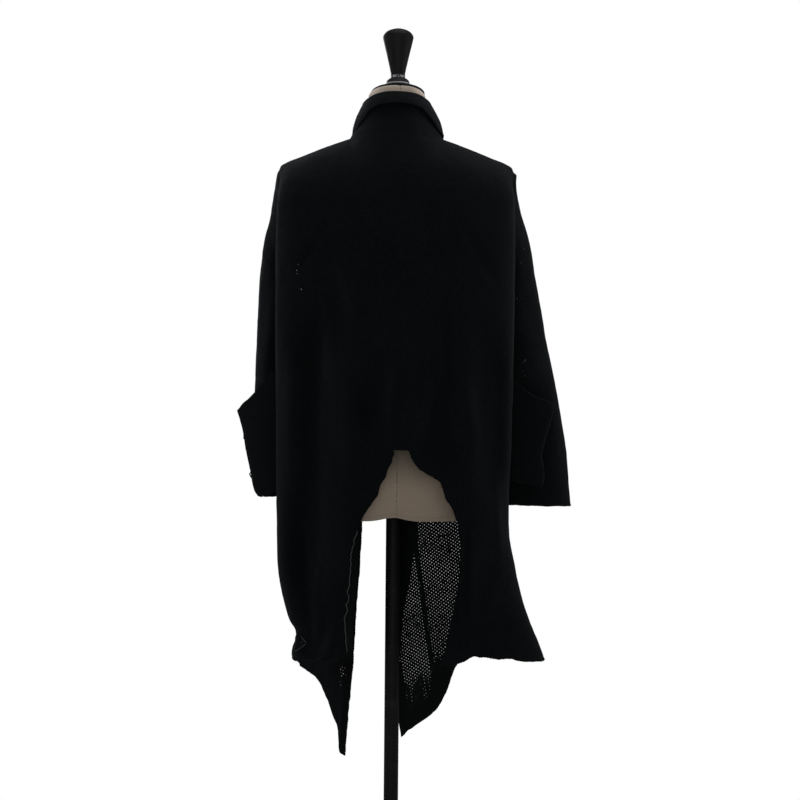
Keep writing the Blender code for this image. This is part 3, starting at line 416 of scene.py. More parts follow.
def back_place(side, share, z):
    """Toward which x the back's columns hang at a height, round the arch cut into its hem."""
    arch, stack, fold = ARCH[side], STACKS[back_section, side], SIDE[side]
    own = stack_point(stack, share, z)
    x, y = own[..., 0], own[..., 1]
    corner_z = arch.at(TAIL_SHARE[side], "z")
    by_height = Table("z share x", *((row[2], row[0], row[1]) for row in arch.rows))
    below = z < corner_z
    edge_share = np.where(below, by_height.at(z, "share"), TAIL_SHARE[side])
    edge_own = stack_point(stack, edge_share, z)[..., 0]
    leaving = ease((SWING_FROM - z) / (SWING_FROM - corner_z))
    edge_x = np.where(below, by_height.at(z, "x"), mix(edge_own, arch.at(TAIL_SHARE[side], "x"), leaving))
    fold_x = fold.at(z, "fold_x")
    spread = (fold_x - edge_x) / (fold_x - edge_own)
    tail = np.where(y > fold.at(z, "fold_y"), fold_x - (fold_x - x) * spread, x)
    hem_z = arch.at(share, "z")
    hem_own = stack_point(stack, share, hem_z)[..., 0]
    middle = x * edge_x / edge_own + (arch.at(share, "x") - hem_own * edge_x / edge_own) * ease(
        1 - (z - hem_z) / HEM_SWING)
    return np.where(share >= edge_share, tail, middle), y


def panel_points(section, side, top, hem_z, place, share, t):
    """A body panel's cloth: t runs from its top edge (0) over the yoke to its hem (1), and place gives x and y."""
    z = mix(YOKE_Z, hem_z, np.maximum((t - YOKE_PART) / (1 - YOKE_PART), 0.0))
    yoke = yoke_point(STACKS[section, side], top, share, t / YOKE_PART)
    return np.where((t < YOKE_PART)[..., None], yoke, stacked(*place(z), z)) * (SIGN[side], 1, 1)


def back_points(side, share, t):
    """The back's cloth on one side, from centre back (share 0) to its side seam and armhole (1)."""
    share, t = np.broadcast_arrays(share, t)

    def place(z):
        x, y = back_place(side, share, z)
        return x, y + fold_offset(BACK_FOLDS, x * SIGN[side], z) * ease((1 - share) / SEAM_CALM - 1)

    hem_z = np.where(share < ARCH[side].rows[-1][0], ARCH[side].at(share, "z"), TAIL_HEM[side].at(share, "z"))
    return panel_points(back_section, side, back_top, hem_z, place, share, t)


def front_points(side, share, t):
    """A front's cloth, from its side seam and armhole (share 0) to its free edge (1)."""
    share, t = np.broadcast_arrays(share, t)
    stack, (hem_x, hem_z) = STACKS[front_section, side], FRONT_HEM[side].all(share)

    def place(z):
        own = stack_point(stack, share, z)
        swing = ease(1 - (z - hem_z) / HEM_SWING) * ease(share / SEAM_CALM)
        x = own[..., 0] + (hem_x - stack_point(stack, share, hem_z)[..., 0]) * swing
        return x, own[..., 1] - fold_offset(FRONT_FOLDS, x * SIGN[side], z) * ease(share / SEAM_CALM - 0.5)

    return panel_points(front_section, side, front_top, hem_z, place, share, t)


# ---- making meshes ----
SHARP_ANGLE = math.radians(58)
WELD = 0.00001             # points nearer to each other than this are one
# The small unevenness of hanging knit: the height, the size and the seed of its long and its round lumps.
LONG_LUMPS, ROUND_LUMPS = ((0.0013, 0.060, 1.0), (0.0007, 0.024, 2.0)), ((0.0004, 0.012, 4.0),)
LUMPS_STRETCH = 0.45       # how fast a long lump changes up and down, as a share of how fast across
ROLL_SIDES = 8
ROLL_PITCH = 0.0052        # the swell of a rolled edge, from stitch to stitch


def only(item):
    bpy.ops.object.select_all(action="DESELECT")
    item.select_set(True)
    bpy.context.view_layer.objects.active = item


def grid_mesh(name, points, stitch, closed=False, caps=False, **marks):
    """A mesh over a grid of points, with the cloth's own coordinates in metres and its named marks."""
    rows, columns = points.shape[:2]
    index = np.arange(rows * columns).reshape(rows, columns)
    if closed:
        index = np.concatenate([index, index[:, :1]], axis=1)
        ring = np.concatenate([points, points[:, :1]], axis=1)
        round_way = stitch[:, :1] + stacked(lengths(ring, 1)[:, -1:], np.zeros((rows, 1)))
        stitch = np.concatenate([stitch, round_way], axis=1)
    place = np.arange(stitch.shape[0] * stitch.shape[1]).reshape(stitch.shape[:2])
    quads, corners = (np.stack([a[:-1, :-1], a[1:, :-1], a[1:, 1:], a[:-1, 1:]], axis=-1).reshape(-1, 4)
                      for a in (index, place))
    faces, uvs = quads.tolist(), stitch.reshape(-1, 2)[corners.ravel()]
    if caps:
        for end in (index[0, :-1][::-1], index[-1, :-1]):
            faces.append(end.tolist())
            uvs = np.concatenate([uvs, np.zeros((len(end), 2))])
    mesh = bpy.data.meshes.new(name)
    mesh.from_pydata(points.reshape(-1, 3).tolist(), [], faces)
    mesh.uv_layers.new(name="stitch").data.foreach_set("uv", uvs.ravel())
    for mark, value in marks.items():
        mesh.attributes.new(mark, "FLOAT", "POINT").data.foreach_set(
            "value", np.broadcast_to(value, points.shape[:2]).ravel().astype(float))
    item = bpy.data.objects.new(name, mesh)
    scene.collection.objects.link(item)
    return item


def rolled(line, out, radius, step=0.0026, drawn_in=0.6, wander=0.0008, rim=0.6, purl=0.0):
    """The knit's own edge, rolled into a soft uneven cord along a line. out points off the cloth's edge,
    and the cord wanders that way. rim lightens the cord with a painted highlight, and below 0 darkens it with painted
    shade."""
    line, out = resample(int(lengths(line, 0)[-1] / step) + 2, line, out)
    way = unit(np.gradient(line, axis=0))
    up = unit(np.cross(way, out))
    out = unit(np.cross(up, way))
    length = lengths(line, 0)
    end = np.minimum(length, length[-1] - length)
    turn = np.linspace(0.0, 2 * np.pi, ROLL_SIDES, endpoint=False)
    swell = radius * (1 + 0.12 * np.sin(length / ROLL_PITCH * 2 * np.pi) + 0.22 * lumps(line, 0.009, 3.0))
    swell = (swell * np.sqrt(np.clip(end / (2 * radius), 0.05, 1.0)))[:, None]
    stray = wander * (lumps(line, 0.012, 7.0) + 0.5 * lumps(line, 0.005, 9.0))
    middle = line + out * (stray - radius * drawn_in)[:, None]
    points = (middle[:, None] + out[:, None] * (swell * np.cos(turn))[..., None]
              + up[:, None] * (swell * np.sin(turn))[..., None])
    stitch = stacked(turn[None, :] * radius, length[:, None])
    return grid_mesh("roll", points, stitch, closed=True, caps=True, opening=0.0, rim=rim, purl=purl)


def border(*pairs):
    """One line along several edges, each given with the line inside it, and the way off the cloth there."""
    edges, ways = zip(*((edge, unit(edge - inside)) for edge, inside in pairs))
    return np.concatenate(edges), np.concatenate(ways)


def rolled_round(points, row, inner, radius, **more):
    """A rolled edge right round one end of a closed grid, away from a line inside it."""
    return rolled(*border((points[row], points[inner]), (points[row, :1], points[inner, :1])), radius, **more)


def handed_over(item, node, slot):
    """Gives a finished piece the one material of its slot, puts it under its body, and hides the solid it stands for.
    """
    item.data.materials.clear()
    item.data.materials.append(MATERIALS[slot])
    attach(item, "root")
    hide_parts(node)
    return item


def sewn(name, item, rolls=(), slot="knit"):
    """Joins a piece's parts, welds what meets, turns the faces outward, and gives it its material and its body."""
    only(item)
    for roll in rolls:
        roll.select_set(True)
    if rolls:
        bpy.ops.object.join()
    item.name = item.data.name = name
    build = bmesh.new()
    build.from_mesh(item.data)
    bmesh.ops.remove_doubles(build, verts=build.verts, dist=WELD)
    bmesh.ops.recalc_face_normals(build, faces=build.faces)
    for face in build.faces:
        face.smooth = True
    for edge in build.edges:
        edge.smooth = edge.calc_face_angle(0.0) < SHARP_ANGLE
    build.to_mesh(item.data)
    build.free()
    handed_over(item, name.split("_", 1)[1], slot)


def crease_height(table, x, z):
    """The sum of short soft creases: each has its middle, lean, half length, half width and height."""
    total = 0.0
    for middle_x, middle_z, lean, half_length, half_width, height in table.rows:
        across = np.abs(x - middle_x - lean * (z - middle_z)) / (half_width * math.sqrt(1 + lean * lean))
        along = np.abs(z - middle_z) / half_length
        total = total + height * np.cos(np.pi / 2 * np.minimum(across, 1)) ** 2 * np.cos(
            np.pi / 2 * np.minimum(along, 1)) ** 2
    return total


def hung(points, normals, calm, extra=0.0):
    """Hanging knit with its shallow lumps and the pucker of its stitches, and an extra height."""
    height = sum(high * lumps(place, size, seed)
                 for place, kind in ((points * (1, 1, LUMPS_STRETCH), LONG_LUMPS), (points, ROUND_LUMPS))
                 for high, size, seed in kind)
    return points + normals * ((height + extra) * calm)[..., None]


def creased(points, away, creases, folds, calm):
    """A body panel with its creases and lumps, its normals, and a mark for painted shade and light on the knit:
    from -1 in the deepest trough to 1 on the highest ridge."""
    normals = faced(points, away)
    x, z = points[..., 0], points[..., 2]
    crease = crease_height(creases, x, z) * ease((normals @ away - 0.1) / 0.3)
    fold = np.clip(fold_offset(folds, x, z) / 0.012 + crease / CREASE_FULL, -1.0, 1.0)
    return hung(points, normals, calm, crease), normals, fold


def knit_panel(points, closed=False, opening=0.0, level=None, fold=0.0, purl=0.0):
    """A walled knit panel. Its stitches are counted in metres across and down, or level round the body from one of
    its columns.
    Its last mark lightens its face toward +Y with painted light."""
    across, down = lengths(points, 1), -lengths(points, 0)
    if level is not None:
        x, y, z = np.moveaxis(points, -1, 0)
        across = -x - np.sign(x) * TURN_STRETCH * np.maximum(np.abs(y[:, level]) - np.abs(y).T, 0.0).T
        down = np.where(np.arange(len(z))[:, None] < YOKE_ROWS, YOKE_Z + down - down[YOKE_ROWS - 1], z)
    else:
        middle = 0 if closed else points.shape[1] // 2
        across = across - across[:, middle:middle + 1]
    glint = sum(ease(1 - np.linalg.norm(points * (1, 0, 1) - (x, 0, z), axis=-1) / reach) for x, z, reach in GLINTS)
    item = grid_mesh("panel", points, stacked(across, down), closed, opening=opening, rim=0.0, glint=glint,
                     fold=fold, purl=purl)
    only(item)
    wall = item.modifiers.new("wall", "SOLIDIFY")
    wall.thickness, wall.offset = WALL, 0.0
    bpy.ops.object.modifier_apply(modifier=wall.name)
    mesh = item.data
    place, pale = np.empty(len(mesh.vertices) * 3), np.empty(len(mesh.vertices))
    mesh.vertices.foreach_get("co", place)
    mesh.attributes["purl"].data.foreach_get("value", pale)
    away = place.reshape(-1, 3)[:, 1] - np.resize(points[..., 1].ravel(), len(pale))
    mesh.attributes["purl"].data.foreach_set("value", pale * ease(away / (WALL / 4)))
    return item


def evened(points):
    """Softens a panel's bends from column to column, but not along its edges or at the side's turn."""
    rows, columns = points.shape[:2]
    down, across = np.arange(rows)[:, None], np.arange(columns)[None, :]
    free = ease(down / 6.0) * ease((rows - 1 - down) / 12.0) * ease(np.minimum(across, columns - 1 - across) / 3.0)
    free = free * (1 - 0.93 * ease((np.abs(points[..., 0]) - 0.160) / 0.025))
    for _ in range(EVENING_PASSES):
        middle = (points[:, :-2] + points[:, 2:]) / 2
        points[:, 1:-1] = mix(points[:, 1:-1], middle, 0.5 * free[:, 1:-1, None])
    return points


# ---- the body's panels ----
BACK_ROWS = 190
YOKE_ROWS = 44
BACK_ARCH_COLUMNS = 62
BACK_TAIL_COLUMNS = 34
FRONT_ROWS = 210
FRONT_COLUMNS = 104
ROLL_RADIUS = 0.0022
# Where a few of the eyelets catch the light: x, z and how far round.
GLINTS = ((0.1737, 1.1616, 0.0042), (0.1772, 1.1516, 0.004), (0.1768, 1.1453, 0.0036), (0.1757, 1.138, 0.004),
    (0.1707, 1.1348, 0.0038), (0.1683, 1.1194, 0.0038), (0.1745, 1.1172, 0.0042), (-0.2386, 1.2043, 0.0044),
    (-0.2333, 1.1811, 0.0046), (-0.2362, 1.1733, 0.0044), (-0.2276, 1.1116, 0.0042), (-0.2362, 1.0876, 0.0044),
    (-0.2352, 1.0522, 0.0044), (-0.2427, 0.9943, 0.0044), (-0.2406, 0.976, 0.0042), (-0.2459, 0.967, 0.0046))
CREASE_FULL = 0.004        # the height of a crease whose trough gets the full painted shade, or whose ridge the full painted light
EVENING_PASSES = 30
TURN_STRETCH = 0.75        # how much of a panel's depth counts as width where it turns round the side

BACK_CREASES = Table("x z lean half_length half_width height", (0.118, 0.47, -0.32, 0.06, 0.01, 0.0035),
    (0.133, 0.52, -0.12, 0.06, 0.009, 0.003), (0.168, 0.462, 0.5, 0.03, 0.008, 0.0025),
    (0.06, 0.905, 0.35, 0.09, 0.02, -0.002), (0.01, 0.93, -0.1, 0.12, 0.016, 0.0016),
    (-0.055, 0.9, -0.25, 0.1, 0.018, 0.002), (-0.095, 1, 0.1, 0.16, 0.018, -0.0022),
    (0.12, 1.02, 0.08, 0.17, 0.015, 0.002), (-0.132, 0.61, 0, 0.14, 0.013, -0.0042),
    (-0.185, 0.57, -0.3, 0.1, 0.018, 0.0012), (-0.212, 0.52, -0.45, 0.08, 0.016, -0.001),
    (0.045, 1.24, 0.6, 0.07, 0.018, 0.0007), (-0.07, 1.23, -0.7, 0.07, 0.02, 0.0007),
    (0.15, 1.19, -0.6, 0.08, 0.016, -0.0018), (-0.155, 1.18, 0.55, 0.09, 0.018, -0.0018),
    (0.095, 1.12, 0.3, 0.09, 0.014, 0.0013), (-0.03, 1.09, 0.12, 0.12, 0.017, -0.0013),
    (0.136, 0.575, -0.12, 0.09, 0.005, 0.0026), (0.157, 0.6, 0.07, 0.14, 0.016, -0.0026),
    (-0.192, 0.7, 0.06, 0.11, 0.01, 0.0026), (-0.14, 0.9, 0.16, 0.1, 0.013, 0.0018))
FRONT_CREASES = Table("x z lean half_length half_width height", (0.085, 0.92, 0.18, 0.12, 0.014, 0.0025),
    (0.12, 0.76, -0.1, 0.14, 0.014, -0.0028), (-0.08, 0.86, -0.16, 0.13, 0.015, 0.0026),
    (-0.13, 0.7, 0.08, 0.15, 0.013, -0.0026), (0.15, 0.56, 0.14, 0.11, 0.012, 0.003),
    (-0.06, 0.52, 0.17, 0.17, 0.006, 0.003), (0.1, 0.48, 0.2, 0.11, 0.011, -0.0026),
    (-0.12, 0.45, 0.3, 0.08, 0.011, 0.0028), (0.12, 1.2, 0.75, 0.07, 0.016, 0.002),
    (-0.125, 1.19, -0.8, 0.075, 0.017, 0.002), (0.095, 1.08, 0.3, 0.11, 0.014, -0.0018),
    (-0.1, 1.06, -0.25, 0.11, 0.014, -0.0018), (0.075, 0.68, 0.05, 0.12, 0.011, 0.002),
    (-0.035, 0.64, 0.02, 0.14, 0.01, 0.0018))

# The left tail's turned-up corner: top outer, top inner, bottom outer and bottom inner, as x and z.
CORNER_FLAP = ((0.1775, 0.484), (0.1722, 0.4905), (0.1795, 0.456), (0.1548, 0.4745))
FLAP_LIFT, FLAP_COLUMNS, FLAP_ROWS = 0.0045, 9, 13
# The stretch of the left tail's inner edge along which a thin, light-coloured, wandering cord runs, in x and in z.
PALE_CORD_SPAN = (0.055, 0.100), (0.458, 0.690)
# Painted shade: the left side's strip that lies in the sleeve's shade is darkened. Its middle, its width and its
# ends.
PAINTED_SHADE_X, PAINTED_SHADE_WIDTH, PAINTED_SHADE_Z = 0.2150, 0.010, (1.000, 1.290)
# A painted highlight: a thin light line inside the right side's turn, on faces toward +Y. How far in from the edge,
# how wide, and its ends.
PAINTED_HIGHLIGHT_IN, PAINTED_HIGHLIGHT_WIDTH, PAINTED_HIGHLIGHT_Z = 0.0026, 0.0020, (0.955, 1.330)

# Where the right front's knit hangs single and stretched, so that light comes through it: its bound
# toward the free edge, the doubled fold that crosses it, and its foot. x is toward the side.
OPEN_TOP = 0.712
OPEN_EDGE = Table("z x", (0.33, 0.03), (0.387, 0.0207), (0.418, 0.016), (0.4605, 0.0166), (0.4975, 0.0202),
    (0.542, 0.0275), (0.573, 0.0341), (0.6216, 0.0395), (0.645, 0.048), (0.69, 0.0455))
# A few holes stand open near the left front's point, in x and in z.
FEW_HOLES = (0.086, 0.104), (0.366, 0.408)
# Where the openwork ends below, and the height over which it dies away there in upright streaks.
OPEN_FOOT = Table("x z frayed", (0.018, 0.402, 0.088), (0.03, 0.388, 0.088), (0.045, 0.39, 0.07),
    (0.053, 0.412, 0.05), (0.064, 0.395, 0.085), (0.0715, 0.4, 0.06), (0.079, 0.414, 0.014),
    (0.0928, 0.43, 0.012), (0.14, 0.45, 0.012))
DOUBLE_FOLD = Table("z x", (0.373, 0.086), (0.42, 0.0763), (0.47, 0.0673), (0.534, 0.0592), (0.594, 0.0504),
    (0.625, 0.0452), (0.69, 0.0425))
DOUBLE_FOLD_HALF = 0.0040


def panel_rows(count):
    yoke = np.linspace(0.0, YOKE_PART, YOKE_ROWS)
    return np.concatenate([yoke, np.linspace(YOKE_PART, 1.0, count - YOKE_ROWS + 1)[1:]])[:, None]


def back_columns(side):
    """Column places that run evenly along the arch's edge, then along the tail's hem."""
    arch = ARCH[side]
    fine = np.linspace(0.0, arch.rows[-1][0], 400)
    length = lengths(np.column_stack([arch.at(fine, "x"), arch.at(fine, "z")]), 0) + fine * 0.35
    along = np.interp(np.linspace(0.0, length[-1], BACK_ARCH_COLUMNS), length, fine)
    return np.concatenate([along, np.linspace(fine[-1], 1.0, BACK_TAIL_COLUMNS + 1)[1:]])


def turned_corner(points):
    """The left tail's outer hem corner, folded up over the tail, and its thin edge."""
    cloth = points[points[..., 1] > 0.0]
    across, down = np.meshgrid(np.linspace(0, 1, FLAP_COLUMNS), np.linspace(0, 1, FLAP_ROWS))
    x, z = (mix(mix(*axis[:2], across), mix(*axis[2:], across), down) for axis in np.array(CORNER_FLAP).T)
    near = np.argmin(sum((cloth[:, axis] - at.reshape(-1, 1)) ** 2 for axis, at in ((0, x), (2, z))), axis=1)
    flap = stacked(x, cloth[near, 1].reshape(x.shape) + FLAP_LIFT, z)
    edge = np.concatenate([flap[:, -1], flap[-1, ::-1][1:]])
    # The flap's edge cord is coloured light as a painted highlight.
    return [knit_panel(flap), rolled(edge, np.ones_like(edge) * (-0.6, 0.0, -0.8), 0.0010, wander=0.0006, purl=1.35)]


def make_back():
    rows = panel_rows(BACK_ROWS)
    left = back_points("left", back_columns("left")[None, ::-1], rows)
    right = back_points("right", back_columns("right")[None, :], rows)
    flat = evened(np.concatenate([left[:, :-1], (left[:, -1:] + right[:, :1]) / 2, right[:, 1:]], axis=1))
    across, down = np.arange(flat.shape[1])[None, :], np.arange(len(rows))[:, None]
    calm = ease(np.minimum(across, across[:, ::-1]) / 6.0) * ease(down / 6.0)
    # The fold mark gives the back painted shade in its troughs and painted light on its ridges.
    points, normals, fold = creased(flat, (0, 1, 0), BACK_CREASES, BACK_FOLDS, calm)
    x, z = flat[..., 0], flat[..., 2]
    # Painted shade: the fold mark also darkens the left side's strip under the sleeve.
    fold = fold - 0.9 * ease(1.4 - np.abs(x - PAINTED_SHADE_X) / PAINTED_SHADE_WIDTH) * band(z, *PAINTED_SHADE_Z, 0.06)
    # Painted highlight along the right side's turn, only where the cloth faces +Y.
    from_side = x - x.min(axis=1, keepdims=True)
    painted_light_and_shade = 0.34 * ease(1.5 - np.abs(from_side - PAINTED_HIGHLIGHT_IN) / PAINTED_HIGHLIGHT_WIDTH) * ease((normals[..., 1] - 0.1) / 0.2)
    painted_light_and_shade = painted_light_and_shade * band(z, *PAINTED_HIGHLIGHT_Z, 0.03) * ease(0.9 + 0.5 * lumps(flat * (0, 0, 1), 0.020, 17.0))
    edge = points[-1]
    out = unit(edge - points[-4])
    out = unit(out - normals[-1] * np.sum(out * normals[-1], axis=-1, keepdims=True))
    # The hem's cord is darkened with painted shade.
    hem = rolled(edge, out, ROLL_RADIUS, wander=0.0011, rim=-0.48)
    lows, highs = np.transpose(PALE_CORD_SPAN)
    fray = edge[np.all((edge[:, ::2] > lows) & (edge[:, ::2] < highs), axis=1)]
    pale_cord = rolled(fray + (-0.0006, 0.0022, 0.0), np.ones_like(fray) * (-1.0, 0.0, 0.0), 0.0009, step=0.0014,
                    drawn_in=-0.4, wander=0.0027, purl=1.6)
    panel = knit_panel(points, level=len(left[0]) - 1, fold=fold, purl=painted_light_and_shade)
    sewn("cardigan_back", panel, [hem, pale_cord, *turned_corner(points)])


def front_opening(side, points):
    """How far the knit's holes stand open at each point of a front."""
    x, z = np.abs(points[..., 0]), points[..., 2]
    if side == "left":
        few = 0.75 * ease(2.0 * lumps(points, 0.006, 11.0) + 1.0)
        return few * band(x, *FEW_HOLES[0], 0.003, 0.004) * band(z, *FEW_HOLES[1], 0.004)
    inside = ease((x - OPEN_EDGE.at(z, "x")) / 0.004 + 0.5) * np.clip(
        (z - OPEN_FOOT.at(x, "z")) / OPEN_FOOT.at(x, "frayed") + 1.0, 0.0, 1.0)
    off_fold = ease((np.abs(x - DOUBLE_FOLD.at(z, "x")) - DOUBLE_FOLD_HALF) / 0.003 + 0.5)
    patchy = 1 - 0.22 * ease(0.5 + lumps(points * (1, 1, 0.6), 0.035, 6.0))
    return ease((OPEN_TOP - z) / 0.012) * inside * off_fold * patchy


def make_front(side):
    columns = np.linspace(0.0, 1.0, FRONT_COLUMNS)[None, :]
    points = evened(front_points(side, columns, panel_rows(FRONT_ROWS)))
    down, across = np.arange(FRONT_ROWS)[:, None], np.arange(FRONT_COLUMNS)[None, :]
    # The fold mark gives the fronts painted shade in their troughs and painted light on their ridges.
    points, _, fold = creased(points, (0, -1, 0), FRONT_CREASES, FRONT_FOLDS, ease(across / 6.0) * ease(down / 6.0))
    edges = border((points[4:, -1], points[4:, -4]), (points[-1, -2::-1], points[-4, -2::-1]))
    opening, z = front_opening(side, points), points[..., 2]
    # Painted light on the fronts' faces toward +Y: a little over the right front's openwork, and more on the left
    # front's strip between 0.40 m and 0.76 m, which the tail shades.
    purl = opening * 0.10 if side == "right" else 0.62 * band(z, 0.40, 0.76, 0.06, 0.08)
    sewn("cardigan_front_" + side, knit_panel(points, opening=opening, level=-1, fold=fold, purl=purl),
         [rolled(*edges, ROLL_RADIUS)])


# ---- the sleeves ----
SLEEVE_RINGS = 150
SLEEVE_SIDES = 112
SLEEVE_BUNCH = 1.15        # above 1, by which the rings lie closer together near the armhole
ARMHOLE_BLEND = 0.16       # share of the sleeve over which the armhole's shape passes into its own
SLEEVE_CREASES = Table("turn z lean half_length half_width height", (0.5, 1.23, 2.5, 0.05, 0.26, 0.0035),
    (0.62, 1.17, 3, 0.055, 0.22, -0.0035), (0.42, 1.12, -2.6, 0.06, 0.22, 0.003),
    (0.58, 1.055, 2.2, 0.06, 0.2, 0.003), (0.36, 1.01, -2, 0.07, 0.2, -0.003),
    (0.72, 0.98, 1.8, 0.07, 0.18, 0.0028), (0.25, 1.06, 0.6, 0.12, 0.09, 0.003),
    (0.14, 0.93, -0.4, 0.12, 0.08, -0.0024), (0.33, 0.86, 0.5, 0.09, 0.09, 0.0026),
    (0.82, 1.08, -0.7, 0.11, 0.09, -0.0028), (0.9, 0.9, 0.4, 0.12, 0.08, 0.0026),
    (0.66, 0.85, -0.5, 0.09, 0.1, -0.0026), (0.05, 1.14, 0.5, 0.11, 0.08, -0.0022),
    (0.45, 0.8, 0.3, 0.06, 0.1, 0.0022))


def armhole_loop(side):
    """The armhole's edge: down the back's side, and up the front's."""
    half = SLEEVE_SIDES // 2
    t = np.linspace(0.0, 0.5, 1200)
    edges = []
    for panel, last in ((back_points, 1.0), (front_points, 0.0)):
        path = panel(side, np.full(t.shape, last), t)
        edges += resample(half + 1, path[path[:, 2] >= ARMHOLE_BOTTOM])
    return np.concatenate([edges[0], edges[1][::-1][1:-1]])


def make_sleeve(side):
    sign, first = SIGN[side], armhole_loop(side)
    turn = np.arange(SLEEVE_SIDES) / SLEEVE_SIDES
    low = 0.5 - 0.5 * np.cos(2 * np.pi * turn)
    second = first + stacked(mix(*ARMHOLE_LEDGE[side], low) * sign, 0.0, -ARMHOLE_DROP * (1 - low))
    place = (np.arange(1, SLEEVE_RINGS) / (SLEEVE_RINGS - 1))[:, None] ** SLEEVE_BUNCH
    share = 0.5 + 0.5 * np.cos(2 * np.pi * turn)[None, :]
    outer_x, outer_z, inner_x, inner_z, mid_y, half_depth = SLEEVE[side].all(place)
    bent = stacked(mix(inner_x, outer_x, share) * sign, mid_y + half_depth * np.sin(2 * np.pi * turn),
                   mix(inner_z, outer_z, share))
    bent = mix(bent, second[None], (1 - ease(place / ARMHOLE_BLEND))[..., None])
    points = np.concatenate([first[None], second[None], bent])
    normals = faced(points, points - points.mean(axis=1, keepdims=True), closed=True)
    calm = ease((np.arange(len(points)) - 3) / 12.0)[:, None] * np.ones(SLEEVE_SIDES)
    inner = 1 - ease((0.226 - np.abs(points[..., 0])) / 0.012)
    extra = crease_height(SLEEVE_CREASES, turn[None, :] if sign > 0 else 1 - turn[None, :], points[..., 2])
    points = hung(points, normals, calm * mix(0.15, 1.0, inner), extra)
    # The creases' heights also give the sleeve painted shade in their troughs and painted light on their ridges.
    sewn("cardigan_sleeve_" + side, knit_panel(points, closed=True, fold=np.clip(extra / CREASE_FULL, -1.0, 1.0)),
         [rolled_round(points, -1, -4, ROLL_RADIUS)])


# ---- the pockets ----
POCKET_ROWS = 56
POCKET_SIDES = 64
POCKET_MOUTH_ROLL, POCKET_SEAM_ROLL = 0.0013, 0.0012


def line_at(points, x):
    xs, zs = zip(*points)
    return np.interp(x, xs, zs)


def make_pocket(side):
    """A bag open at its slanted mouth, closed along its floor."""
    spec, sign = POCKET[side], SIGN[side]
    mouth_x, floor_x = spec["mouth"][-1][0], spec["floor"][-1][0]
    down = np.linspace(0.0, 1.0, POCKET_ROWS)[:, None]
    turn = 2 * np.pi * (np.arange(POCKET_SIDES) + 0.5)[None, :] / POCKET_SIDES
    share = 0.5 - 0.5 * np.cos(turn)
    outer_x = spec["side"].at(mix(spec["mouth"][-1][1], spec["floor"][-1][1], down), "x") - WALL / 2
    inner_x = POCKET_INNER_X + WALL / 2
    x = mix(inner_x, outer_x, share)
    top = line_at(spec["mouth"], mix(POCKET_INNER_X, mouth_x, share))
    bottom = line_at(spec["floor"], mix(POCKET_INNER_X, floor_x, share)) + WALL / 2
    half = mix(POCKET_MOUTH_HALF, POCKET_FLOOR_HALF, ease(down)) * np.sqrt(np.clip((1 - down) / 0.06, 0.0, 1.0))
    points = stacked(x * sign, POCKET_MID_Y + half * np.sin(turn), mix(top, bottom, down))
    normals = faced(points, stacked(0.0, np.sin(turn), 0.0), closed=True)
    points = hung(points, normals, 0.8 * ease((1 - down) / 0.08) * np.ones(turn.shape))
    # The mouth's and the seam's cords get painted highlights.
    mouth = rolled_round(points, 0, 3, POCKET_MOUTH_ROLL, wander=0.0016, rim=1.1)
    outer = POCKET_SIDES // 2
    seam = rolled(*border((points[:-2, outer], points[:-2, 0]), (points[-2, outer:-2], points[-6, outer:-2])),
                  POCKET_SEAM_ROLL, step=0.0014, drawn_in=0.5, wander=0.0032, rim=1.8)
    # The pocket's knit is lightened with painted light.
    sewn("cardigan_pocket_" + side, knit_panel(points, closed=True, fold=spec["pale"]), [mouth, seam])


# ---- the collar ----
COLLAR_COLUMNS = 180
COLLAR_ROLL = 0.0017
STAND_LINES, ROLL_LINES, FALL_LINES = 13, 9, 17
COLLAR_FLARE = 0.0045      # by which the wearer's right fall stands further out than the left


def neck_seam(place):
    """The neck seam: 0 is centre back, 1 and -1 are the two front edges."""
    along = np.abs(place)
    behind = back_top(np.minimum(along / 0.5, 1.0) * NECK_SHARE * 0.9999)[0]
    ahead = stacked(*NECK_FRONT.all(np.maximum(along - 0.5, 0.0) / 0.5))
    point = np.where((along < 0.5)[..., None], behind, ahead)
    return point * stacked(np.where(place >= 0, 1.0, -1.0), 1.0, 1.0)


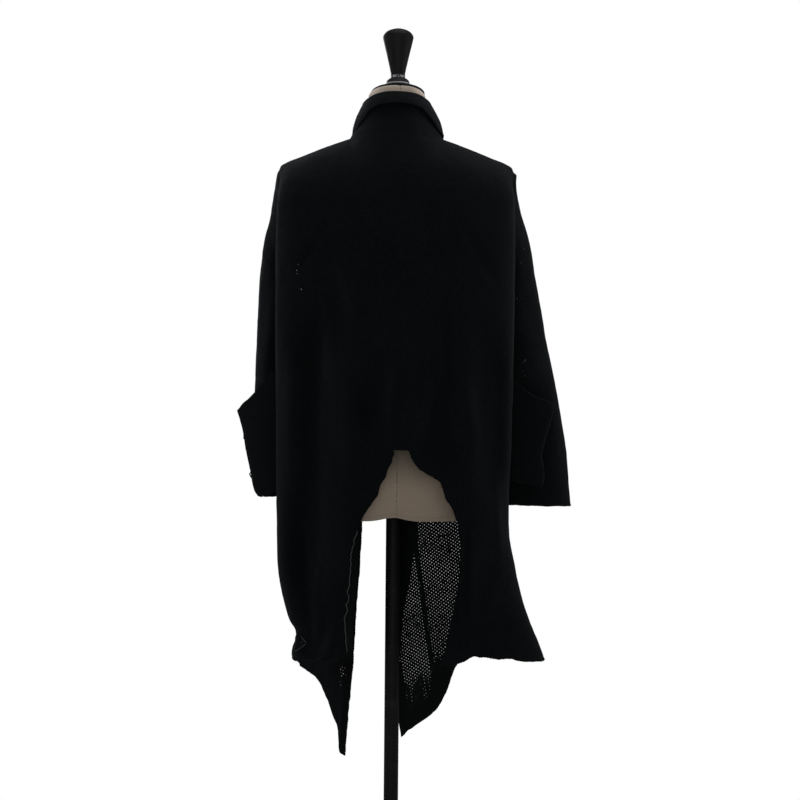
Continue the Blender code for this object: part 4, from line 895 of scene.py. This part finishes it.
def make_collar():
    place = np.linspace(-1.0, 1.0, COLLAR_COLUMNS)
    base = neck_seam(place)
    in_by, stand, roll, fall_out, fall_down = (column[:, None] for column in COLLAR.all(np.abs(place)))
    tangent = neck_seam(np.minimum(place + 0.02, 1.0)) - neck_seam(np.maximum(place - 0.02, -1.0))
    out = unit(stacked(tangent[:, 1], -tangent[:, 0], 0.0))
    wrong = np.sum(out * (base + (0, 0.02, 0)) * (1, 1, 0), axis=1) < 0
    out = np.where(wrong[:, None], -out, out)
    up = np.array([0, 0, 1.0])
    lines = [base - out * in_by * math.sin(s * math.pi / 2) + up * stand * s for s in np.linspace(0, 1, STAND_LINES)]
    middle = lines[-1] + out * roll
    lines += [middle + out * roll * math.cos(s * math.pi) + up * roll * 1.1 * math.sin(s * math.pi)
              for s in np.linspace(0.9, 0.1, ROLL_LINES)]
    start = middle + out * roll
    flare = (COLLAR_FLARE * ease((-place - 0.1) / 0.2) * ease((0.85 + place) / 0.2))[:, None]
    lines += [start + out * (fall_out * math.sin(s * math.pi / 2) + flare * s) - up * fall_down * s
              for s in np.linspace(0.06, 1, FALL_LINES)]
    points = np.stack(lines, axis=1)
    behind = np.zeros_like(points)
    behind[COLLAR_COLUMNS // 2, -2, 1] = 1.0
    down = np.arange(points.shape[1])[None, :]
    points = hung(points, faced(points, behind), ease((down - 1) / 8.0) * np.ones((COLLAR_COLUMNS, 1)))
    edges = border((points[0, 2:], points[3, 2:]), (points[1:-1, -1], points[1:-1, -4]),
                   (points[-1, :1:-1], points[-4, :1:-1]))
    # The turned band is lightened with painted light, and the edge cord gets a faint painted highlight.
    sewn("cardigan_collar", knit_panel(points, fold=ease((down - STAND_LINES + 1) / 6.0) * 0.9),
         [rolled(*edges, COLLAR_ROLL, rim=0.25)])


# ---- the dress form ----
TORSO_RINGS = 210
TORSO_SIDES = 176
HEM_ARCH = 0.007           # by which the form's hem rises at centre back
HEM_BEAD, HEM_BEAD_UP, HEM_BEAD_HALF = 0.0007, 0.003, 0.0022
# The rings of the form's underside from its middle: share of the outline, and height over its hem.
UNDERSIDE = (0.20, 0.0), (0.22, 0.0105), (0.965, 0.0110)
SEAM_SUNK = 0.0007         # how deep the form's sewn seams lie
SKIRT_TUCK = 0.068         # share by which the neck draws in under the cap's skirt
BACK_SEAM_X = 0.0065       # how far the form's centre-back seam lies to the wearer's right


def torso_points(z):
    width, behind, ahead = TORSO.all(z)
    turn = 2 * np.pi * np.arange(TORSO_SIDES)[None, :] / TORSO_SIDES
    to_seam = (BACK_SEAM_X / width) ** (FORM_ROUND / 2)
    turn = turn + to_seam * np.exp(-((turn - np.pi / 2) / 0.45) ** 2)
    c, s = np.cos(turn), np.sin(turn)
    x = width * np.sign(c) * np.abs(c) ** (2 / FORM_ROUND)
    y = np.where(s > 0, behind, ahead) * np.sign(s) * np.abs(s) ** (2 / FORM_ROUND)
    tuck = 1 - SKIRT_TUCK * ease((z - NECK_TOP + 0.0022) / 0.0011)
    x, y = x * tuck, y * tuck
    rise = HEM_ARCH * np.exp(-(x / 0.027) ** 2) * (s > 0) * ease((TORSO_BOTTOM + 0.14 - z) / 0.14)
    return stacked(x, y, z + rise + NECK_SLANT * ease((z - NECK_FOOT) / (NECK_TOP - NECK_FOOT)) * y)


def make_torso():
    z = np.linspace(TORSO_BOTTOM, NECK_TOP, TORSO_RINGS)[:, None]
    points = torso_points(z)
    across = lengths(np.concatenate([points, points[:, :1]], axis=1), 1)
    seams = across[:, ::TORSO_SIDES // 4]
    seam = np.min(np.abs(across[:, :-1, None] - seams[:, None, :]), axis=2)
    normals = faced(points, points * (1, 1, 0), closed=True)
    bead = HEM_BEAD * np.exp(-((z - TORSO_BOTTOM - HEM_BEAD_UP) / HEM_BEAD_HALF) ** 2)
    pucker = 0.0003 * lumps(points, 0.012, 8.0) * np.exp(-(seam / 0.014) ** 2)
    sunk = SEAM_SUNK * np.exp(-(seam / 0.004) ** 2) + pucker
    points = points + normals * (bead - sunk)[..., None]
    rim = points[:1] * (0.985, 0.985, 1) + (0, 0, 0.0006)
    under = np.concatenate([points[:1] * (share, share, 0) + (0, 0, TORSO_BOTTOM + rise)
                            for share, rise in UNDERSIDE])
    stitch = stacked(across[:, :-1], lengths(points, 0))
    points = np.concatenate([under, rim, points])
    stitch = np.concatenate([*(stitch[:1] - (0, down) for down in (0.16, 0.14, 0.012, 0.002)), stitch])
    seam = np.concatenate([np.full((4, TORSO_SIDES), 1.0), seam])
    item = grid_mesh("form", points, stitch, closed=True, caps=True, seam=seam)
    sewn("form_torso", item, slot="linen")


def turned(name, profile, node, slot, aside=0.0):
    """A turned solid, from its lowest ring up: rows of radius, height at its axis, and slope if it leans."""
    bpy.ops.object.select_all(action="DESELECT")
    radius, height = profile[0][:2]
    bpy.ops.mesh.primitive_circle_add(vertices=TURNED_SIDES, radius=radius, fill_type="NGON",
                                      location=(aside, 0.0, height))
    item = bpy.context.object
    item.name = item.data.name = name
    bpy.ops.object.transform_apply(location=True, rotation=True, scale=True)
    bpy.ops.object.mode_set(mode="EDIT")
    bpy.ops.mesh.select_all(action="SELECT")
    lean = 0.0
    for step, (new_radius, new_height, *slant) in enumerate(profile):
        middle = (aside, 0.0, new_height)
        if step:
            bpy.ops.mesh.extrude_region_move(TRANSFORM_OT_translate={"value": (0.0, 0.0, new_height - height)})
            grow = new_radius / radius
            bpy.ops.transform.resize(value=(grow, grow, grow), center_override=middle)
        turn = math.atan(slant[0] if slant else 0.0) - lean
        if abs(turn) > 1e-6:
            bpy.ops.transform.rotate(value=-turn, orient_axis="X", center_override=middle)
            lean += turn
        radius, height = new_radius, new_height
    bpy.ops.mesh.select_all(action="SELECT")
    bpy.ops.mesh.normals_make_consistent(inside=False)
    bpy.ops.object.mode_set(mode="OBJECT")
    bpy.ops.object.shade_smooth_by_angle(angle=TURNED_SHARP)
    handed_over(item, node, slot)


GAP = 0.0003
TURNED_SIDES, TURNED_SHARP = 96, math.radians(35)
RING_LINE = 1.5112         # below this height the ring's foot is bright metal, its light colour partly a painted reflection; above it is blackened
FOOT_HIGHLIGHT = (1.5214, 1.5256)  # the heights of a patchy bright metallic band round the knob's foot, a painted highlight
CAP_RIM, CAP_TOP, CAP_RADIUS = 0.0035, 1.5085, 0.0502
CAP_SKIRT = 0.0045         # how far the cap's skirt reaches down over the linen, which it clears
KNOB_HEIGHT = 0.0925
TURNED_EDGE, POLE_EDGE = 0.0006, 0.0008
TURNED_X = -0.0015
POLE_RADIUS, FOOT_HEIGHT = 0.0135, 0.016
# The ring's and the foot's rings from below: radius and height.
RING = ((0.0218, 0.0), (0.0224, 0.0007), (0.0224, 0.0023), (0.0219, 0.0033), (0.0214, 0.0056), (0.0201, 0.0078),
        (0.0182, 0.0097), (0.0162, 0.0111), (0.0140, 0.0120))
FOOT = ((0.1565, 0.0), (0.1590, 0.0008), (0.1600, 0.0030), (0.1600, 0.0060), (0.1590, 0.0080), (0.1565, 0.0092),
        (0.1400, 0.0120), (0.060, 0.0148), (0.020, FOOT_HEIGHT))
# The cap's dome: its radius as it rises from the slanted rim (0) to the level top (1).
CAP_DOME = Table("share radius", (0, 0.0502), (0.14, 0.0484), (0.46, 0.042), (0.72, 0.033), (1, 0.0225))
# The knob's radius at shares of its height.
KNOB = Table("share radius", (0, 0.0136), (0.03, 0.0136), (0.0896, 0.0134), (0.129, 0.0142), (0.209, 0.0156),
    (0.33, 0.0182), (0.451, 0.0207), (0.571, 0.0234), (0.691, 0.0261), (0.7725, 0.0278), (0.8117, 0.0285),
    (0.83, 0.0285), (0.8596, 0.0277), (0.893, 0.0258), (0.932, 0.0221), (0.965, 0.0165), (1, 0.006))


def make_stand():
    rim = NECK_TOP + GAP + CAP_RIM
    base = rim - CAP_SKIRT
    cap = [(CAP_RADIUS - TURNED_EDGE, base, NECK_SLANT), (CAP_RADIUS, base + TURNED_EDGE, NECK_SLANT),
           (CAP_RADIUS, rim - TURNED_EDGE, NECK_SLANT)]
    cap += [(float(CAP_DOME.at(share, "radius")), mix(rim, CAP_TOP, share), NECK_SLANT * (1 - share))
            for share in np.linspace(0.02, 1.0, 22)]
    foot = CAP_TOP + GAP
    knob = foot + RING[-1][1] + GAP
    shares = np.concatenate([np.linspace(0.0, 0.12, 9), np.linspace(0.16, 0.70, 13), np.linspace(0.73, 1.0, 21)])
    low, high = FOOT_HEIGHT + GAP, TORSO_BOTTOM - GAP
    turned("form_neck_cap", cap, "neck_cap", "black_wood", TURNED_X)
    turned("form_neck_ring", [(radius, foot + up) for radius, up in RING], "neck_ring", "steel", TURNED_X)
    turned("form_knob", [(float(KNOB.at(share, "radius")), knob + KNOB_HEIGHT * share) for share in shares],
           "neck_knob", "black_wood", TURNED_X)
    turned("stand_pole", [(POLE_RADIUS - POLE_EDGE, low), (POLE_RADIUS, low + POLE_EDGE),
                          (POLE_RADIUS, high - POLE_EDGE), (POLE_RADIUS - POLE_EDGE, high)], "pole", "black_metal")
    turned("stand_foot", FOOT, "base_plate", "black_metal")


# ---- shader nets ----
FLOOR_RADIUS, FLOOR_FADE = 0.64, (0.58, 0.28)
class Feed:
    """A socket of a shader net, which arithmetic turns into Math nodes."""

    def __init__(self, net, socket):
        self.net, self.socket = net, socket

    def math(self, operation, *others):
        return self.net.sum(operation, self, *others)

    def wave(self, pitch=1.0, kind="SINE"):
        return (self * (2 * math.pi / pitch)).math(kind)

    def __add__(self, other): return self.math("ADD", other)
    def __sub__(self, other): return self.math("SUBTRACT", other)
    def __rsub__(self, other): return self.net.sum("SUBTRACT", other, self)
    def __mul__(self, other): return self.math("MULTIPLY", other)
    __radd__, __rmul__ = __add__, __mul__
    def __pow__(self, other): return self.math("POWER", other)
    def __abs__(self): return self.math("ABSOLUTE")


class Net:
    """A material's node tree round its Principled shader, whose plain values are set at once."""

    def __init__(self, name, **plain):
        self.material = bpy.data.materials.new(name)
        self.material.use_nodes = True
        self.tree = self.material.node_tree
        self.shader = self.tree.nodes["Principled BSDF"]
        for socket, value in plain.items():
            self.shader.inputs[socket.replace("_", " ")].default_value = value
        self.place = self.node("TexCoord", out="Object")

    def node(self, kind, sockets=None, out=0, **settings):
        made = self.tree.nodes.new("ShaderNode" + kind)
        for name, value in settings.items():
            setattr(made, name, value)
        for name, value in (sockets or {}).items():
            if isinstance(value, Feed):
                self.tree.links.new(value.socket, made.inputs[name])
            else:
                made.inputs[name].default_value = value
        return Feed(self, made.outputs[out])

    def finish(self, **fed):
        """Links the shader's sockets by name, and gives the finished material."""
        for name, value in fed.items():
            self.tree.links.new(value.socket, self.shader.inputs[name.replace("_", " ")])
        return self.material

    def sum(self, operation, *values):
        return self.node("Math", dict(enumerate(values)), operation=operation)

    def parts(self, vector):
        """A vector's three coordinates."""
        return [Feed(self, out) for out in self.node("SeparateXYZ", {0: vector}).socket.node.outputs]

    def stitch(self):
        """The cloth's own coordinates in metres, as one vector, across and down."""
        both = self.node("UVMap", out="UV", uv_map="stitch")
        return both, *self.parts(both)[:2]

    def mark(self, name):
        return self.node("Attribute", out="Fac", attribute_name=name)

    def noise(self, place, scale, detail=3.0, rough=0.55):
        return self.node("TexNoise", {"Vector": place, "Scale": scale, "Detail": detail, "Roughness": rough}, "Fac")

    def stretched(self, place, scale, detail=2.0):
        """Noise at a scale of its own along each axis."""
        return self.noise(self.times(place, scale), 1.0, detail)

    def times(self, vector, scale):
        return self.node("VectorMath", {0: vector, 1: scale}, "Vector", operation="MULTIPLY")

    def step(self, value, low, high):
        """Zero at low, one at high, smooth between."""
        return self.node("MapRange", {"Value": value, "From Min": low, "From Max": high}, "Result",
                         interpolation_type="SMOOTHSTEP")

    def blend(self, share, first, second):
        first, second = (value if isinstance(value, Feed) else (*value, 1.0) for value in (first, second))
        return self.node("Mix", {0: share, 6: first, 7: second}, 2, data_type="RGBA")

    def coats(self, colour, *coats):
        """A colour under further ones, each laid on by its share."""
        for share, over in coats:
            colour = self.blend(share, colour, over)
        return colour

    def lattice(self, across, down, sway):
        """One at the middle of each eyelet of the slanting centred lattice, and less round it. A cell is
        8.2 mm wide and 6.4 mm high, leaning by about ten degrees."""
        first = across * 120.0 + down * 17.3 + sway
        second = down * 153.0 - across * 28.5 + sway
        return first.wave(kind="COSINE") * second.wave(kind="COSINE") - first.wave() ** 2.0 * 0.30

    def bump(self, height, distance, strength):
        return self.node("Bump", {"Height": height, "Distance": distance, "Strength": strength}, "Normal")


HOLE_LIGHT = 0.76          # how much light each side of the wall lets through an open eyelet


def black_knit():
    """Fine pointelle knit: eyelets on a slanting centred lattice between small stitches, with a soft halo."""
    net = Net("black_knit", Specular_IOR_Level=0.03, Sheen_Weight=0.035, Sheen_Roughness=0.45,
              Sheen_Tint=(0.80, 0.90, 1.00, 1.0))
    _, across, down = net.stitch()
    east, _, up = net.parts(net.place)
    # The holes are set out level on the body, so that those through its front and back lie in line.
    level = net.times(net.place, (1.0, 0.0, 1.0))
    sway = (net.noise(level, 40.0, 2.0) - 0.5) * 0.45
    uneven = net.noise(level, 210.0, 1.0)
    hole = net.step(net.lattice(east * -1, up, sway) + (uneven - 0.5) * 0.60, 0.70, 0.84)
    eyelet = net.step(net.lattice(across, down, sway), 0.60, 0.95)
    wale = across.wave(0.0017) * 0.5 + 0.5
    course = (down + across * 0.2).wave(0.0013) * 0.5 + 0.5
    fuzz = net.noise(net.place, 900.0, 4.0, 0.7)
    pile = net.noise(net.place, 160.0) * 0.55 + wale * course * 0.25 + fuzz * 0.30 - eyelet * 0.25
    cloudy = net.noise(net.place, 9.0)
    rim, purl, fold, opening = (net.mark(name) for name in ("rim", "purl", "fold", "opening"))
    lint = net.step(net.noise(net.place, 1250.0, 1.0), 0.80, 0.86) * 0.30
    glint = net.step(hole * net.mark("glint") + (fuzz - 0.5) * 0.3, 0.35, 0.60)
    yarn = net.blend(net.step(pile + cloudy * 0.35, 0.30, 1.15), (0.0010, 0.0014, 0.0016), (0.0034, 0.0041, 0.0045))
    colour = net.coats(yarn,
                       (net.step(fold, 0.0, -1.0) * 0.60, (0.0008, 0.0011, 0.0012)),     # painted shade in the troughs
                       (net.step(fold, 0.0, 1.0) * 0.45, (0.0062, 0.0071, 0.0076)),      # painted light on the ridges
                       (net.step(up, 0.50, 0.40) * 0.25, (0.0068, 0.0068, 0.0068)),      # painted light, lighter toward the hems
                       # Painted light on faces toward +Y. Above 1 it gives the light colour of the thin cords along
                       # the turned corner and the left tail's edge.
                       (purl, (0.0150, 0.0160, 0.0165)), (purl - 1.0, (0.0700, 0.0720, 0.0740)),
                       # Painted highlight on rolled edges, and painted shade where the mark is below 0.
                       (rim * 0.55, (0.0062, 0.0068, 0.0071)), (rim * -1.0, (0.0002, 0.0003, 0.0003)),
                       # Lint is the yarn's own; the glint dots are painted light, a few eyelets shown light as if lit
                       # through.
                       (lint, (0.040, 0.042, 0.044)), (glint, (0.300, 0.310, 0.320)))
    # The openwork dies away in upright streaks.
    streak = net.noise(net.times(net.place, (1.0, 0.0, 0.03)), 500.0, 1.0)
    open_knit = (net.step(opening + (streak - 0.5) * 2.6, 0.42, 0.60) * net.step(opening, 0.02, 0.12)
                 * (opening * 0.5 + 0.5))
    return net.finish(Base_Color=colour, Roughness=0.86 + fuzz * 0.14, Normal=net.bump(pile, 0.0016, 0.9),
                      Alpha=1 - hole * open_knit * HOLE_LIGHT)


def form_linen():
    """Plain-woven linen over padding: uneven threads, slubs, sewn seams and a turned hem, with painted shade and
    painted light.
    """
    net = Net("form_linen", Specular_IOR_Level=0.20, Sheen_Weight=0.50, Sheen_Roughness=0.35)
    stitch, across, down = net.stitch()
    east, behind, up = net.parts(net.place)
    warp = net.stretched(stitch, (1600.0, 60.0, 1.0))
    weft = net.stretched(stitch, (60.0, 1600.0, 1.0))
    slub = net.step(net.stretched(stitch, (45.0, 900.0, 1.0)), 0.62, 0.76)
    seam = net.mark("seam")
    stitched = net.step(net.noise(stitch, 330.0, 1.0), 0.42, 0.50)
    groove = net.step(seam + (net.noise(stitch, 260.0, 2.0) - 0.5) * 0.0012, 0.0012, 0.0002)
    pucker = net.step(seam, 0.009, 0.002) * (down.wave(0.0065) * 0.5 + net.noise(stitch, 300.0, 2.0) * 0.5)
    height = (across.wave(0.0009) * down.wave(0.0009) * 0.12 + (warp + weft) * 0.28 + slub * 0.20 - groove * 1.1
              + pucker * 0.45 + net.step(down, 0.0072, 0.0064) * -0.5)
    aged = net.step(net.noise(net.place, 7.0, 4.0), 0.30, 0.72)
    cloth = net.blend(aged, (0.395, 0.325, 0.262), (0.455, 0.385, 0.318))
    cloth = net.blend((warp + weft) * 0.5, (0.330, 0.268, 0.212), cloth)
    # Painted shadow on the form's back, high under the arch.
    painted_arch_shadow = net.step(up, 0.745, 0.835) * net.step(up, 1.0, 0.9) * net.step(behind, 0.0, 0.06) * 0.95
    cloth = net.coats(cloth,
                      (slub * 0.5, (0.560, 0.490, 0.410)),
                      (groove * (stitched * 0.55 + 0.12), (0.100, 0.080, 0.063)),
                      (net.step(seam, 0.0042, 0.0022) * (1 - stitched) * 0.20, (0.520, 0.450, 0.380)),
                      (net.step(down, 0.0065, 0.0050) * 0.15, (0.560, 0.500, 0.430)),       # the turned hem
                      (net.step(down, 0.0006, 0.0001), (0.030, 0.026, 0.022)),              # painted shade: the underside darkened
                      (painted_arch_shadow, (0.120, 0.105, 0.080)))                                      # painted shadow under the cloth's arch
    # Painted shade and light by place: the linen is darkened below about 1.1 m, the neck's middle is darkened, and
    # its sides are lightened, the wearer's right side most.
    painted_shade_low, painted_light_and_shade, painted_light_left_side, painted_light_right_side = (net.times(cloth, share) for share in (
        (0.47, 0.455, 0.43), (0.74, 0.74, 0.74), (1.28, 1.30, 1.36), (1.46, 1.44, 1.48)))
    sides = net.blend(net.step(east, -0.01, 0.01), painted_light_right_side, painted_light_left_side)
    neck = net.blend(net.step(abs(east - TURNED_X), 0.022, 0.050), painted_light_and_shade, sides)
    return net.finish(Base_Color=net.blend(net.step(up, 1.10, 1.42), painted_shade_low, neck), Roughness=0.82 + warp * 0.16,
                      Normal=net.bump(height, 0.0007, 0.8))


def black_lacquer():
    """Black lacquer over turned wood, satin and handled; a thin patchy bright metallic band at the knob's foot is a
    painted highlight.
    """
    net = Net("black_lacquer", Specular_IOR_Level=0.09)
    up = net.parts(net.place)[2]
    rubs = net.noise(net.place, 60.0, 4.0)
    # Painted highlight: a patchy bright metallic band round the knob's foot.
    foot_highlight = (net.step(up, FOOT_HIGHLIGHT[0] - 0.0004, FOOT_HIGHLIGHT[0]) * net.step(up, FOOT_HIGHLIGHT[1] + 0.0006, FOOT_HIGHLIGHT[1])
               * net.step(net.noise(net.place, 260.0, 2.0), 0.36, 0.56))
    shade = net.blend(net.step(rubs, 0.45, 0.75), (0.0020, 0.0020, 0.0022), (0.0045, 0.0045, 0.0047))
    return net.finish(Base_Color=net.blend(foot_highlight, shade, (0.20, 0.20, 0.21)), Metallic=foot_highlight * 0.6,
                      Roughness=rubs * 0.16 + 0.44 - foot_highlight * 0.22,
                      Normal=net.bump(net.stretched(net.place, (220.0, 220.0, 18.0), 3.0), 0.00012, 0.5))


def black_paint():
    """Satin black paint on steel: a fine orange peel, with dust and rubbed patches."""
    net = Net("black_paint", Specular_IOR_Level=0.06)
    dust = net.noise(net.place, 24.0, 5.0)
    shade = net.blend(net.step(dust, 0.48, 0.80), (0.0036, 0.0036, 0.0038), (0.0085, 0.0084, 0.0082))
    return net.finish(Base_Color=shade, Roughness=dust * 0.22 + 0.46,
                      Normal=net.bump(net.noise(net.place, 420.0, 2.0), 0.00010, 0.5))


def turned_steel():
    """Blackened turned steel with fine lines round it, bright metal along its foot, whose light colour is partly a
    painted reflection.
    """
    net = Net("turned_steel", Specular_IOR_Level=0.12)
    lines = net.stretched(net.place, (40.0, 40.0, 5200.0))
    smear = net.noise(net.place, 90.0)
    # Bright foot: real bright metal, with a light base colour as a painted reflection.
    bright = net.step(net.parts(net.place)[2], RING_LINE + 0.0005, RING_LINE)
    shade = net.blend(bright, net.blend(smear, (0.005, 0.005, 0.006), (0.011, 0.011, 0.012)),
                      net.blend(smear, (0.20, 0.20, 0.20), (0.34, 0.34, 0.33)))
    return net.finish(Base_Color=shade, Metallic=bright * 0.5, Roughness=lines * 0.14 + 0.48 - bright * 0.2,
                      Normal=net.bump(lines, 0.00005, 0.6))


def pale_floor():
    """A light matt sweep that fades into the white round it."""
    net = Net("pale_floor", Specular_IOR_Level=0.2)
    away = net.node("VectorMath", {0: net.place}, "Value", operation="LENGTH")
    return net.finish(Base_Color=net.blend(net.noise(net.place, 3.0), (0.80, 0.80, 0.79), (0.84, 0.84, 0.83)),
                      Roughness=net.noise(net.place, 40.0) * 0.2 + 0.75, Alpha=net.step(away, *FLOOR_FADE))


MATERIALS = {"knit": black_knit(), "linen": form_linen(), "black_wood": black_lacquer(),
             "black_metal": black_paint(), "steel": turned_steel()}


make_back()
make_collar()
for side in ("left", "right"):
    make_front(side)
    make_sleeve(side)
    make_pocket(side)
make_torso()
make_stand()

# ---- the studio ----
bpy.ops.object.select_all(action="DESELECT")
bpy.ops.mesh.primitive_circle_add(vertices=128, radius=FLOOR_RADIUS, fill_type="NGON", location=(0.0, 0.0, -0.0004))
floor = bpy.context.object
floor.name = "floor"
floor.data.materials.append(pale_floor())


def soft_box(name, place, aim, size, power):
    light = bpy.data.lights.new(name, "AREA")
    light.shape, light.size, light.energy = "SQUARE", size, power
    item = bpy.data.objects.new(name, light)
    scene.collection.objects.link(item)
    item.location = place
    item.rotation_euler = (Vector(aim) - Vector(place)).to_track_quat("-Z", "Y").to_euler()


for box in (("overhead", (-0.3, 0.4, 3.4), (0, 0, 1.0), 2.2, 30.0), ("key", (-2.4, 2.8, 2.0), (0, 0, 0.9), 2.6, 14.0),
            ("side_fill", (2.6, 2.8, 1.4), (0, 0, 0.9), 2.6, 12.0),
            ("camera_fill", (0.2, 4.2, 0.8), (0, 0, 0.7), 1.8, 48.0),
            ("right_wall", (-3.0, 0.2, 1.5), (0, 0, 1.0), 2.2, 26.0),
            ("left_wall", (3.0, 0.2, 1.4), (0, 0, 1.0), 2.2, 18.0),
            ("front_fill", (1.2, -3.2, 2.2), (0, 0, 0.9), 2.4, 52.0)):
    soft_box(*box)

world = bpy.data.worlds.new("studio")
scene.world = world
world.use_nodes = True
nodes, links = world.node_tree.nodes, world.node_tree.links
nodes.clear()
ray, choice, end = (nodes.new("ShaderNode" + kind) for kind in ("LightPath", "MixShader", "OutputWorld"))
links.new(ray.outputs["Is Camera Ray"], choice.inputs[0])
links.new(choice.outputs[0], end.inputs["Surface"])
# The soft light from all round, and the plain white that the camera sees.
for socket, colour, strength in ((1, (0.97, 0.985, 1.0, 1), 0.30), (2, (1, 1, 1, 1), 1.0)):
    round_light = nodes.new("ShaderNodeBackground")
    round_light.inputs["Color"].default_value = colour
    round_light.inputs["Strength"].default_value = strength
    links.new(round_light.outputs[0], choice.inputs[socket])
scene.view_settings.view_transform = "Standard"
